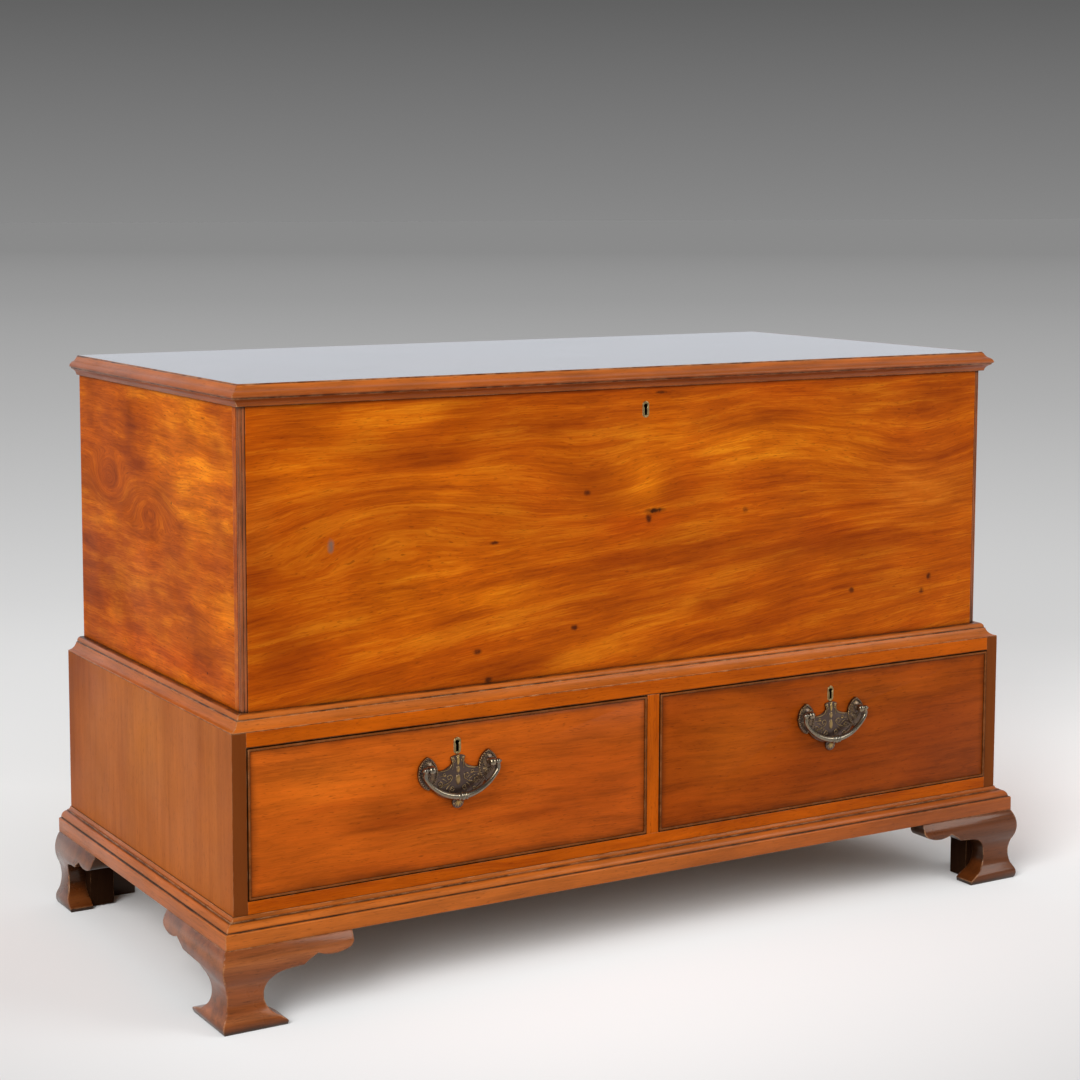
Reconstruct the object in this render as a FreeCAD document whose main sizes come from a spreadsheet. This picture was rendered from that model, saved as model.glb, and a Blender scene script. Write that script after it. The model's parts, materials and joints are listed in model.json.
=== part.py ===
"""Mule chest: a lidded coffer standing on a base with two drawers and ogee bracket feet.

Millimetres. +X is the chest's right as seen from the front, +Y runs from front to back, +Z is up.
The origin is on the floor, at the middle of the whole chest's outer box.
"""
import FreeCAD, Part
import Sketcher
import math
import os

from FreeCAD import Rotation, Vector

DRIVING_SIZES = {
    # lower case
    "case_width": 1280, "case_depth": 614, "side_board": 20, "foot_height": 108,
    "base_board": 18, "bottom_rail": 35, "opening_height": 200, "top_rail": 20,
    "rail_depth": 60, "muntin": 20, "lower_back": 15,
    "runner_width": 30, "centre_runner": 80, "guide_height": 22, "kicker_width": 60,
    # coffer
    "coffer_inset": 25, "coffer_height": 421, "coffer_board": 20, "coffer_back": 18,
    "coffer_floor": 14, "corner_bead": 9, "bead_quirk": 1.4,
    # lid
    "lid_gap": 0.3, "lid_board": 20, "lid_side_gap": 0.8, "lid_lip": 9, "lid_nose": 15.1,
    # mouldings of the case
    "waist_height": 20, "base_moulding": 36, "fascia_height": 21, "fascia_out": 19.5,
    # feet
    "foot_out": 26.5, "foot_neck_out": 17.2, "foot_tuck": 0.5, "bracket_back": 9, "front_wing": 158,
    "side_wing": 180, "rear_wing": 156, "wing_run": 88, "wing_drop": 25, "lobe_drop": 34, "foot_neck": 33,
    "foot_pad": 64, "side_pad": 78, "rear_bracket": 18, "rear_bracket_foot": 92, "rear_bracket_wing": 150,
    "glue_block": 36, "block_lift": 2,
    # drawers
    "drawer_gap": 1.5, "drawer_front": 22, "drawer_back_gap": 33, "drawer_side": 12,
    "drawer_back": 12, "drawer_bottom": 8, "bottom_rise": 10, "groove": 5, "cockbead": 3, "cockbead_deep": 9,
    "cockbead_out": 2, "dovetails": 3, "dovetail_cover": 1, "dovetail_flare": 2.5, "running_gap": 0.4,
    "stop_height": 6, "stop_width": 50, "stop_depth": 25,
    # keyholes and locks
    "keyhole_drop": 34, "escutcheon_width": 11, "escutcheon_height": 23, "escutcheon_deep": 6,
    "keyhole_radius": 3.3, "keyhole_slot": 5, "keyhole_length": 16, "key_pin": 1.3,
    "lock_width": 60, "lock_height": 52, "lock_deep": 11, "lock_wall": 1.5,
    "bolt_width": 26, "bolt_thick": 5, "bolt_height": 22, "bolt_throw": 7, "moving_gap": 0.4,
    "coffer_keyhole_drop": 40, "coffer_lock_width": 104, "coffer_lock_height": 66,
    "coffer_lock_deep": 14, "staple_spacing": 44, "staple_drop": 14, "staple_wide": 8, "staple_thick": 4,
    "coffer_bolt_throw": 8, "strike_width": 84, "strike_depth": 18, "plate": 2,
    # handles
    "post_spacing": 92, "handle_drop": 59, "bail_out": 14, "bail_reach": 57, "bail_drop": 41,
    "bail_middle": 4.6, "bail_end": 3, "bail_pin": 2.2, "pin_play": 0.07, "bail_ball": 4.2,
    "collar_bead": 4.4, "collar_out": 1.8,
    "post_head": 6, "post_flat": 4.2, "post_cheek": 4.3, "post_shank": 2.5, "shank_play": 0.1,
    "nut": 12, "nut_thick": 5, "handle_plate": 2.2, "rose_thick": 3.5, "rose_width": 29, "rose_top": 15,
    "rose_bottom": 30, "crest_top": 13, "crest_width": 22, "plate_drop": 46, "pendant_drop": 60,
    # hinges
    "hinge_spacing": 800, "hinge_length": 90, "knuckles": 3, "knuckle_radius": 3.5, "hinge_pin": 1.8,
    "hinge_leaf": 2, "hinge_leaf_width": 16, "knuckle_gap": 0.3,
}

doc = FreeCAD.newDocument("MuleChest")
sheet = doc.addObject("Spreadsheet::Sheet", "Sizes")
for row, (alias, number) in enumerate(DRIVING_SIZES.items(), start=1):
    sheet.set(f"A{row}", alias.replace("_", " "))
    sheet.set(f"B{row}", str(number))
    sheet.setAlias(f"B{row}", alias)
doc.recompute()


class Size:
    """A length, as its number in mm and as the sheet expression that gives the same number."""

    def __init__(self, number, text):
        self.number = float(number)
        self.text = text

    @staticmethod
    def of(value):
        return value if isinstance(value, Size) else Size(value, f"({round(value, 6)})" if value else "0")

    def __add__(self, other):
        other = Size.of(other)
        return Size(self.number + other.number, f"({self.text} + {other.text})")

    def __sub__(self, other):
        other = Size.of(other)
        return Size(self.number - other.number, f"({self.text} - {other.text})")

    def __mul__(self, factor):
        factor = Size.of(factor)
        return Size(self.number * factor.number, f"({self.text} * {factor.text})")

    def __truediv__(self, factor):
        factor = Size.of(factor)
        return Size(self.number / factor.number, f"({self.text} / {factor.text})")

    def __radd__(self, other):
        return Size.of(other) + self

    def __rsub__(self, other):
        return Size.of(other) - self

    def __rmul__(self, factor):
        return self * factor

    def __neg__(self):
        return Size(-self.number, f"(-1 * {self.text})")


def size(alias):
    return Size(sheet.get(alias), f"Sizes.{alias}")


def bind(thing, prop, value):
    """Give a property its expression, so that it follows the sheet."""
    thing.setExpression(prop, Size.of(value).text)


def place(thing, x=0, y=0, z=0):
    for axis, value in (("x", x), ("y", y), ("z", z)):
        bind(thing, f".Placement.Base.{axis}", value)
    return thing


X, Y, Z = Vector(1, 0, 0), Vector(0, 1, 0), Vector(0, 0, 1)
NODES = []


def node(label, thing):
    """Name a finished sub-part; the label is also its file name."""
    thing.Label = label
    NODES.append(thing)
    return thing


# ---------------------------------------------------------------- building blocks

def box(name, x, y, z):
    """A board or block between two planes on each axis."""
    board = doc.addObject("Part::Box", name)
    for prop, (low, high) in (("Length", x), ("Width", y), ("Height", z)):
        bind(board, prop, Size.of(high) - low)
    return place(board, x[0], y[0], z[0])


def cylinder(name, radius, length, axis, x, y, z):
    """A round bar that starts at a point and runs along an axis."""
    bar = doc.addObject("Part::Cylinder", name)
    bind(bar, "Radius", radius)
    bind(bar, "Height", length)
    bar.Placement.Rotation = Rotation(Z, axis)
    return place(bar, x, y, z)


def cut(name, base, *tools):
    for count, tool in enumerate(tools):
        step = doc.addObject("Part::Cut", f"{name}_cut{count}")
        step.Base, step.Tool = base, tool
        base = step
    return base


def fuse(name, *parts):
    joined = doc.addObject("Part::MultiFuse", name)
    joined.Shapes = list(parts)
    joined.Refine = True
    return joined


def common(name, *parts):
    shared = doc.addObject("Part::MultiCommon", name)
    shared.Shapes = list(parts)
    return shared


def group(name, *parts):
    """Separate solids that belong to one sub-part."""
    bundle = doc.addObject("Part::Compound", name)
    bundle.Links = list(parts)
    return bundle


def mirror(name, source):
    """The same piece on the chest's other side."""
    image = doc.addObject("Part::Mirroring", name)
    image.Source = source
    image.Normal = X
    return image


# The sketch planes: first and second sketch direction, and the normal that follows from them.
PLANES = {"XY": Rotation(X, Y, Z), "XZ": Rotation(X, Z, -Y), "YZ": Rotation(Y, Z, X)}
# Sketcher's numbers: -1 is the sketch's origin, and a curve has a first and a last end.
ROOT_POINT = -1
FIRST, LAST = range(1, 3)
TOUCHING = 1e-6
AXIS_LINES = {"DistanceX": -2, "DistanceY": -1}


def pin_point(sketch, geometry, end, point):
    """Hold a sketch point at two sheet-driven distances from the sketch's origin."""
    for kind, value in zip(("DistanceX", "DistanceY"), point):
        value = Size.of(value)
        if value.number == 0 and value.text == "0":
            sketch.addConstraint(Sketcher.Constraint("PointOnObject", geometry, end, AXIS_LINES[kind]))
            continue
        rule = Sketcher.Constraint(kind, ROOT_POINT, FIRST, geometry, end, value.number)
        sketch.setExpression(f"Constraints[{sketch.addConstraint(rule)}]", value.text)


def outline(name, plane, start, *steps):
    """A closed sketch. A step is the next corner, or (through, corner) for an arc to that corner.

    A straight side closes it, unless the last step comes back to the start.
    """
    sketch = doc.addObject("Sketcher::SketchObject", name)
    sketch.Placement.Rotation = PLANES[plane]

    def flat(point):
        return Vector(*(Size.of(value).number for value in point), 0)

    moves = [step if isinstance(step[0], tuple) else (None, step) for step in steps]
    if flat(moves[-1][1]) != flat(start):
        moves.append((None, start))
    corner, ends = start, []
    for through, target in moves:
        if through:
            geometry = sketch.addGeometry(Part.Arc(flat(corner), flat(through), flat(target)))
        else:
            geometry = sketch.addGeometry(Part.LineSegment(flat(corner), flat(target)))
        forward = sketch.getPoint(geometry, FIRST).distanceToPoint(flat(corner)) < TOUCHING
        first, last = (FIRST, LAST) if forward else (LAST, FIRST)
        ends.append((geometry, first, last))
        pin_point(sketch, geometry, last, target)
        if through:
            mark = sketch.addGeometry(Part.Point(flat(through)), True)
            pin_point(sketch, mark, FIRST, through)
            sketch.addConstraint(Sketcher.Constraint("PointOnObject", mark, FIRST, geometry))
        corner = target
    for (before, _, last), (after, first, _) in zip([ends[-1]] + ends[:-1], ends):
        sketch.addConstraint(Sketcher.Constraint("Coincident", before, last, after, first))
    return sketch


def extrude(name, sketch, axis, start, end):
    """A prism of a sketch between two planes on an axis, x, y or z."""
    bind(sketch, f".Placement.Base.{axis}", start)
    prism = doc.addObject("Part::Extrusion", name)
    prism.Base = sketch
    prism.DirMode = "Custom"
    prism.Dir = Vector(*(float(axis == letter) for letter in "xyz"))
    prism.Solid = True
    bind(prism, "LengthFwd", Size.of(end) - start)
    return prism


FACETS = 8


def facet_ring(name, radius, climb, x, y, z):
    """A regular polygon square to a line in the XZ plane that climbs at this angle."""
    ring = doc.addObject("Part::RegularPolygon", name)
    ring.Polygon = FACETS
    bind(ring, "Circumradius", radius)
    ring.Placement.Rotation = Rotation(Y, 90 - climb)
    return place(ring, x, y, z)


def facet_loft(name, rings):
    loft = doc.addObject("Part::Loft", name)
    loft.Sections = rings
    loft.Ruled = True
    loft.Solid = True
    return loft


def turned_bar(name, x, y, z, *stations):
    """A small turned piece along X, in flat facets, from its (along, radius) stations."""
    return facet_loft(name, [facet_ring(f"{name}_station_{count}", radius, 0, x + along, y, z)
                             for count, (along, radius) in enumerate(stations)])


# ---------------------------------------------------------------- planes that pieces share

half_width = size("case_width") / 2
hinge_radius = size("knuckle_radius")
hinge_axis_out = hinge_radius + size("knuckle_gap")
# the feet stand out in front and the hinge knuckles at the back, and the origin is midway
front = (size("foot_out") - size("case_depth") - hinge_axis_out - hinge_radius) / 2
back = front + size("case_depth")
inside = half_width - size("side_board")

carcase_z = size("foot_height")
rail_z = carcase_z + size("base_board")
opening_z = rail_z + size("bottom_rail")
top_rail_z = opening_z + size("opening_height")
waist_z = top_rail_z + size("top_rail")
coffer_top = waist_z + size("coffer_height")
lid_z = coffer_top + size("lid_gap")
lid_top = lid_z + size("lid_board")

coffer_x = half_width - size("coffer_inset")
coffer_front = front + size("coffer_inset")
coffer_inside_x = coffer_x - size("coffer_board")
coffer_inside_y = coffer_front + size("coffer_board")
coffer_back = back - size("coffer_back")
rail_back = front + size("rail_depth")
lower_back = back - size("lower_back")

FAR = 100


def mitre_prism(name, corner_x, corner_y, face, z):
    """Plan-view wedge that keeps the part of a front or right-hand strip on its side of the mitre.

    The mitre runs at 45 degrees through the upright edge at (corner_x, corner_y).
    """
    outer = (corner_x + FAR, corner_y - FAR)
    inner = (corner_x - FAR, corner_y + FAR)
    if face == "front":
        sketch = outline(f"{name}_plan", "XY", outer, inner, (-inner[0], inner[1]), (-outer[0], outer[1]))
    else:
        sketch = outline(f"{name}_plan", "XY", outer, (outer[0], back), (inner[0], back), inner)
    return extrude(name, sketch, "z", *z)


def moulding_set(name, corner_x, corner_y, z, points):
    """Front, right and left lengths of one moulding, mitred at the front corners.

    The points of the profile are (out from the face, height above z[0]).
    """
    def shift(step, across):
        if isinstance(step[0], tuple):
            return tuple(shift(point, across) for point in step)
        return across(step[0]), z[0] + step[1]

    front_points = [shift(step, lambda out: corner_y - out) for step in points]
    side_points = [shift(step, lambda out: corner_x + out) for step in points]
    strip = extrude(f"{name}_front_strip", outline(f"{name}_front_profile", "YZ", *front_points),
                    "x", -(corner_x + FAR), corner_x + FAR)
    side = extrude(f"{name}_side_strip", outline(f"{name}_side_profile", "XZ", *side_points),
                   "y", corner_y - FAR, back)
    wedges = [mitre_prism(f"{name}_{face}_mitre", corner_x, corner_y, face, (z[0] - FAR, z[1] + FAR))
              for face in ("front", "side")]
    node(f"{name}_front", common(f"{name}_front_piece", strip, wedges[0]))
    right = node(f"{name}_right", common(f"{name}_right_piece", side, wedges[1]))
    node(f"{name}_left", mirror(f"{name}_left_piece", right))


# ---------------------------------------------------------------- lower case

def lower_case():
    side = box("lower_right_board", (inside, half_width), (front, back), (carcase_z, waist_z))
    node("lower_right_side", side)
    node("lower_left_side", mirror("lower_left_board", side))
    node("lower_back", box("lower_back_board", (-inside, inside), (lower_back, back), (carcase_z, waist_z)))
    node("base_board", box("base_board_panel", (-inside, inside), (front, lower_back), (carcase_z, rail_z)))
    node("bottom_rail", box("bottom_rail_bar", (-inside, inside), (front, rail_back), (rail_z, opening_z)))
    muntin_x = size("muntin") / 2
    node("centre_muntin", box("muntin_bar", (-muntin_x, muntin_x), (front, rail_back),
                              (opening_z, top_rail_z)))
    behind = (rail_back, lower_back)
    runner_x = inside - size("runner_width")
    centre_x = size("centre_runner") / 2
    node("drawer_runners", group(
        "runner_group",
        box("left_runner", (-inside, -runner_x), behind, (rail_z, opening_z)),
        box("centre_runner", (-centre_x, centre_x), behind, (rail_z, opening_z)),
        box("right_runner", (runner_x, inside), behind, (rail_z, opening_z))))
    node("centre_guide", box("guide_strip", (-muntin_x, muntin_x), behind,
                             (opening_z, opening_z + size("guide_height"))))
    kicker_x = inside - size("kicker_width")
    node("drawer_kickers", group(
        "kicker_group",
        box("left_kicker", (-inside, -kicker_x), behind, (top_rail_z, waist_z)),
        box("centre_kicker", (-centre_x, centre_x), behind, (top_rail_z, waist_z)),
        box("right_kicker", (kicker_x, inside), behind, (top_rail_z, waist_z))))


def top_rail(bolt_mortises):
    rail = box("top_rail_bar", (-inside, inside), (front, rail_back), (top_rail_z, waist_z))
    node("top_rail", cut("top_rail_mortised", rail, *bolt_mortises))


def drawer_stops(drawer_centres):
    stops = []
    depth = front + size("drawer_front") + size("running_gap")
    for centre in drawer_centres:
        for side in (-1, 1):
            middle = centre + size("post_spacing") * side
            half = size("stop_width") / 2
            stops.append(box(f"stop_{len(stops)}", (middle - half, middle + half),
                             (depth, depth + size("stop_depth")),
                             (opening_z, opening_z + size("stop_height"))))
    node("drawer_stops", group("stop_group", *stops))


def case_mouldings():
    waist, inset = size("waist_height"), -size("coffer_inset")
    # a cove rises from the case's face to a bead against the coffer
    moulding_set("waist_moulding", half_width, front, (waist_z, waist_z + waist), [
        (inset, 0), (0, 0), (0, waist * 0.06), ((inset * 0.36, waist * 0.28), (inset * 0.5, waist * 0.63)),
        (inset * 0.56, waist * 0.63), (inset * 0.56, waist * 0.7),
        ((inset * 0.64, waist * 0.92), (inset * 0.84, waist)), (inset, waist)])
    tall, fascia, out = size("base_moulding"), size("fascia_height"), size("fascia_out")
    crown = tall - fascia
    # the flat fascia has a rounded upper edge; above its quirk come an ovolo and a small cove
    moulding_set("base_moulding", half_width, front, (carcase_z, carcase_z + tall), [
        (0, 0), (out, 0), (out, fascia * 0.88), ((out * 0.96, fascia * 0.97), (out * 0.87, fascia)),
        (out * 0.82, fascia * 0.96), (out * 0.82, fascia + crown * 0.1),
        ((out * 0.7, fascia + crown * 0.43), (out * 0.41, fascia + crown * 0.63)),
        (out * 0.34, fascia + crown * 0.63), (out * 0.34, fascia + crown * 0.72),
        ((out * 0.15, fascia + crown * 0.79), (out * 0.08, tall)), (0, tall)])


# ---------------------------------------------------------------- feet

def ogee_profile(name, plane, face, direction):
    """Cyma section of a bracket: bulging above, hollow at the neck, spread at the pad."""
    tall, out, neck = size("foot_height"), size("foot_out"), size("foot_neck_out")

    def at(reach, height):
        return face + reach * direction, height

    return outline(
        name, plane, at(-size("bracket_back"), 0), at(out * 0.91, 0),
        (at(out, tall * 0.07), at(out * 0.93, tall * 0.15)),
        at(neck * 1.17, tall * 0.22),
        (at(neck, tall * 0.38), at(out * 0.78, tall * 0.57)),
        (at(out, tall * 0.79), at(size("fascia_out") - size("foot_tuck"), tall)),
        at(-size("bracket_back"), tall))


def scallop(name, plane, face, direction, wing, pad):
    """Cut outline of a bracket: pad, hollow neck, then two lobes with a cusp between them."""
    tall, neck, run = size("foot_height"), size("foot_neck"), size("wing_run")
    lobe, tip = size("lobe_drop"), size("wing_drop")

    def at(reach, height):
        return face + reach * direction, height

    return outline(
        name, plane, at(-FAR, 0), at(pad * 0.98, 0), at(pad, tall * 0.05), at(pad * 0.95, tall * 0.08),
        at(neck * 1.6, tall * 0.13), (at(neck, tall * 0.39), at(neck * 1.7, tall - lobe * 1.06)),
        at(wing - run, tall - lobe), at(wing - run * 0.81, tall - lobe * 0.97),
        at(wing - run * 0.74, tall - lobe * 0.82), at(wing - run * 0.59, tall - tip * 0.82),
        (at(wing - run * 0.27, tall - tip), at(wing - run * 0.06, tall - tip * 0.8)),
        (at(wing, tall - tip * 0.52), at(wing - run * 0.01, tall)), at(-FAR, tall))


def ogee_bracket(name, face, wing, pad, end):
    """One bracket of a right-hand foot: its section run along the face, cut to its outline."""
    whole = (-FAR, size("foot_height") + FAR)
    if face == "front":
        run = extrude(f"{name}_run", ogee_profile(f"{name}_section", "YZ", front, -1),
                      "x", half_width - wing, half_width + FAR)
        shape = extrude(f"{name}_cut", scallop(f"{name}_scallop", "XZ", half_width, -1, wing, pad),
                        "y", front - FAR, front + FAR)
    else:
        corner, direction = end
        span = (front - FAR, front + wing) if direction > 0 else (back - wing, back)
        run = extrude(f"{name}_run", ogee_profile(f"{name}_section", "XZ", half_width, 1), "y", *span)
        shape = extrude(f"{name}_cut", scallop(f"{name}_scallop", "YZ", corner, direction, wing, pad),
                        "x", half_width - FAR, half_width + FAR)
    if end and end[1] < 0:
        return common(f"{name}_bracket", run, shape)
    wedge = mitre_prism(f"{name}_mitre", half_width, front, "front" if face == "front" else "side", whole)
    return common(f"{name}_bracket", run, shape, wedge)


def feet():
    right = node("front_right_foot", group(
        "front_right_brackets",
        ogee_bracket("front_foot_front", "front", size("front_wing"), size("foot_pad"), None),
        ogee_bracket("front_foot_side", "side", size("side_wing"), size("side_pad"), (front, 1))))
    node("front_left_foot", mirror("front_left_brackets", right))

    tall, thick = size("foot_height"), size("rear_bracket")
    behind = half_width - size("bracket_back")
    toe, wing_end = half_width - size("rear_bracket_foot"), half_width - size("rear_bracket_wing")
    plain = outline("rear_bracket_outline", "XZ", (behind, 0), (toe, 0),
                    ((toe * 0.76 + wing_end * 0.24, tall * 0.55), (wing_end, tall)), (behind, tall))
    rear = node("rear_right_foot", group(
        "rear_right_brackets",
        ogee_bracket("rear_foot_side", "side", size("rear_wing"), size("foot_pad"), (back, -1)),
        extrude("rear_bracket_board", plain, "y", back - thick, back)))
    node("rear_left_foot", mirror("rear_left_brackets", rear))

    block, lift = size("glue_block"), size("block_lift")
    front_y = front + size("bracket_back")
    rear_y = back - thick
    blocks = [box(f"glue_block_{count}", x, y, (lift, tall))
              for count, (x, y) in enumerate(
                  (x, y) for x in ((behind - block, behind), (-behind, -behind + block))
                  for y in ((front_y, front_y + block), (rear_y - block, rear_y)))]
    node("foot_blocks", group("block_group", *blocks))


# ---------------------------------------------------------------- keyholes

def keyhole_prism(name, x, z, y):
    """Round hole over a narrow slot, run from front to back between two planes."""
    radius, slot, length = size("keyhole_radius"), size("keyhole_slot") / 2, size("keyhole_length")
    top = z + length / 2
    centre = top - radius
    shoulder = centre - radius * 0.65
    sketch = outline(f"{name}_outline", "XZ", (x - slot, shoulder), ((x, top), (x + slot, shoulder)),
                     (x + slot, top - length), (x - slot, top - length))
    return extrude(name, sketch, "y", *y)


def escutcheon_prism(name, x, z, y):
    half, tall = size("escutcheon_width") / 2, size("escutcheon_height") / 2
    sketch = outline(
        f"{name}_outline", "XZ", (x - half, z - tall + half), (x - half, z + tall - half),
        ((x, z + tall), (x + half, z + tall - half)), (x + half, z - tall + half),
        ((x, z - tall), (x - half, z - tall + half)))
    return extrude(name, sketch, "y", *y)


def escutcheon(label, x, z, face):
    """A brass thread let into the wood round the keyhole."""
    depth = (face, face + size("escutcheon_deep"))
    node(label, cut(f"{label}_ring", escutcheon_prism(f"{label}_body", x, z, depth),
                    keyhole_prism(f"{label}_hole", x, z, (face - 1, depth[1] + 1))))


# ---------------------------------------------------------------- coffer

def coffer_lock_z():
    return coffer_top - size("coffer_keyhole_drop")


def coffer_boards():
    edge, deep = size("corner_bead"), size("coffer_lock_deep")
    key_z = coffer_lock_z()
    board = box("coffer_front_board", (-coffer_x, coffer_x), (coffer_front, coffer_inside_y),
                (waist_z, coffer_top))
    rebates = [box(f"bead_rebate_{side}", x, (coffer_front - 1, coffer_front + edge),
                   (waist_z - 1, coffer_top + 1))
               for side, x in (("left", (-coffer_x - 1, -coffer_x + edge)),
                               ("right", (coffer_x - edge, coffer_x + 1)))]
    half = size("coffer_lock_width") / 2
    recess = box("coffer_lock_recess", (-half, half), (coffer_inside_y - deep, coffer_inside_y + 1),
                 (coffer_top - size("coffer_lock_height"), coffer_top + 1))
    inlay = escutcheon_prism("coffer_inlay", 0, key_z,
                             (coffer_front - 1, coffer_front + size("escutcheon_deep")))
    key_way = keyhole_prism("coffer_key_way", 0, key_z, (coffer_front, coffer_inside_y - deep + 1))
    node("coffer_front", cut("coffer_front_cut", board, *rebates, recess, inlay, key_way))
    escutcheon("coffer_escutcheon", 0, key_z, coffer_front)

    end = box("coffer_right_board", (coffer_inside_x, coffer_x), (coffer_inside_y, back),
              (waist_z, coffer_top))
    node("coffer_right_end", end)
    node("coffer_left_end", mirror("coffer_left_board", end))
    node("coffer_floor", box("coffer_floor_panel", (-coffer_inside_x, coffer_inside_x),
                             (coffer_inside_y, coffer_back), (waist_z, waist_z + size("coffer_floor"))))


def corner_beads():
    """Reeded strips that cover the coffer's front corners."""
    edge, quirk = size("corner_bead"), size("bead_quirk")
    x, y = coffer_x, coffer_front
    reed = edge / 2
    # a reed on each face and a round one on the corner itself, with quirks between them
    plan = outline(
        "corner_bead_plan", "XY", (x - edge, y + edge), (x - edge, y + quirk),
        ((x - edge + reed / 2, y), (x - reed, y + quirk)),
        ((x - reed * 0.3, y + reed * 0.3), (x - quirk, y + reed)),
        ((x, y + edge - reed / 2), (x - quirk, y + edge)))
    strip = extrude("right_corner_bead", plan, "z", waist_z, coffer_top)
    node("corner_beads", group("bead_pair", strip, mirror("left_corner_bead", strip)))


def coffer_lock():
    """Chest lock: its bolt slides sideways through two staples that drop in from the lid."""
    wall, gap, deep = size("lock_wall"), size("moving_gap"), size("coffer_lock_deep")
    half = size("coffer_lock_width") / 2
    y = (coffer_inside_y - deep, coffer_inside_y)
    bottom = coffer_top - size("coffer_lock_height")
    case = box("coffer_lock_case", (-half, half), y, (bottom, coffer_top))
    hollow_bottom = coffer_top - size("staple_drop") * 2
    hollow = box("coffer_lock_hollow", (-half + wall, half - wall), (y[0] + wall, y[1] - wall),
                 (hollow_bottom, coffer_top - wall))
    middle = (y[0] + y[1]) / 2
    slots = []
    for side in (-1, 1):
        x = size("staple_spacing") / 2 * side
        reach = size("staple_thick") / 2 + gap * 2
        wide = size("staple_wide") / 2 + gap * 2
        slots.append(box(f"staple_slot_{side + 1}", (x - reach, x + reach), (middle - wide, middle + wide),
                         (coffer_top - wall - 1, coffer_top + 1)))
    key_z = coffer_lock_z()
    key_way = keyhole_prism("coffer_lock_key_way", 0, key_z, (y[0] - 1, y[0] + deep / 2))
    pin = cylinder("coffer_lock_pin", size("key_pin"), deep - wall, -Y, 0, y[1] - wall / 2,
                   key_z + size("keyhole_length") / 2 - size("keyhole_radius"))
    node("coffer_lock", fuse("coffer_lock_body", cut("coffer_lock_shell", case, hollow, key_way, *slots), pin))

    # at rest each finger waits one throw short of its staple's eye
    bar_half = half - wall - size("coffer_bolt_throw") / 2 - gap
    thick = size("staple_wide") / 4
    shift = size("coffer_bolt_throw") / 2
    bar_low = hollow_bottom + gap
    eye_low, eye_high = staple_eye()
    bar_high = eye_low - size("staple_thick") / 2 - gap * 2
    bolt_parts = [box("coffer_bolt_bar", (-bar_half - shift, bar_half - shift),
                      (middle - thick, middle + thick), (bar_low, bar_high))]
    for side in (-1, 1):
        x = size("staple_spacing") / 2 * side - size("staple_thick") / 2 - gap
        finger = size("coffer_bolt_throw") + gap
        root = x - finger
        bolt_parts.append(box(f"bolt_root_{side + 1}", (root - finger, root), (middle - thick, middle + thick),
                              (bar_low, eye_high - gap)))
        bolt_parts.append(box(f"bolt_finger_{side + 1}", (root - 1, x), (middle - thick, middle + thick),
                              (eye_low + gap, eye_high - gap)))
    node("coffer_lock_bolt", fuse("coffer_bolt", *bolt_parts))


def staple_eye():
    """Bottom and top of the staples' eyes."""
    bottom = lid_z - size("staple_drop") + size("staple_thick") / 2
    return bottom, lid_z - size("staple_thick")


# ---------------------------------------------------------------- hinges

def hinge_halves():
    """Butt hinges with interleaved knuckles; the pin is fixed in the case's half."""
    length, leaf, gap = size("hinge_length"), size("hinge_leaf"), size("knuckle_gap")
    axis_y, axis_z = back + hinge_axis_out, coffer_top + size("lid_gap") / 2
    count = int(size("knuckles").number)
    pitch = length / count
    case_parts, lid_parts, case_recesses, lid_recesses = [], [], [], []
    for side in (-1, 1):
        start = size("hinge_spacing") / 2 * side - length / 2
        x, y = (start, start + length), (back - size("hinge_leaf_width"), back)
        case_z, lid_leaf_z = (coffer_top - leaf, coffer_top), (lid_z, lid_z + leaf)
        name = f"hinge{side + 1}"
        halves = {"case": [box(f"{name}_case_leaf", x, y, case_z)],
                  "lid": [box(f"{name}_lid_leaf", x, y, lid_leaf_z)]}
        for index in range(count):
            half, z = ("lid", lid_leaf_z) if index % 2 else ("case", case_z)
            low = start + pitch * index + gap / 2
            high = low + pitch - gap
            bridge = box(f"{name}_bridge{index}", (low, high), (back - 1, axis_y), z)
            barrel = cylinder(f"{name}_knuckle{index}", hinge_radius, pitch - gap, X, low, axis_y, axis_z)
            halves[half] += [bridge, barrel]
        pin = cylinder(f"{name}_pin", size("hinge_pin"), length - gap, X, start + gap / 2, axis_y, axis_z)
        bore = cylinder(f"{name}_bore", size("hinge_pin") + size("pin_play"), length, X, start, axis_y, axis_z)
        case_parts.append(fuse(f"{name}_case_half", *halves["case"], pin))
        lid_parts.append(cut(f"{name}_lid_half", fuse(f"{name}_lid_body", *halves["lid"]), bore))
        case_recesses.append(box(f"{name}_case_recess", x, (y[0], back + 1), (case_z[0], coffer_top + 1)))
        lid_recesses.append(box(f"{name}_lid_recess", x, (y[0], back + 1), (lid_z - 1, lid_leaf_z[1])))
    node("case_hinge_halves", group("case_hinges", *case_parts))
    node("lid_hinge_halves", group("lid_hinges", *lid_parts))
    board = box("coffer_back_board", (-coffer_inside_x, coffer_inside_x), (coffer_back, back),
                (waist_z, coffer_top))
    node("coffer_back", cut("coffer_back_cut", board, *case_recesses))
    return lid_recesses


# ---------------------------------------------------------------- lid

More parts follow.
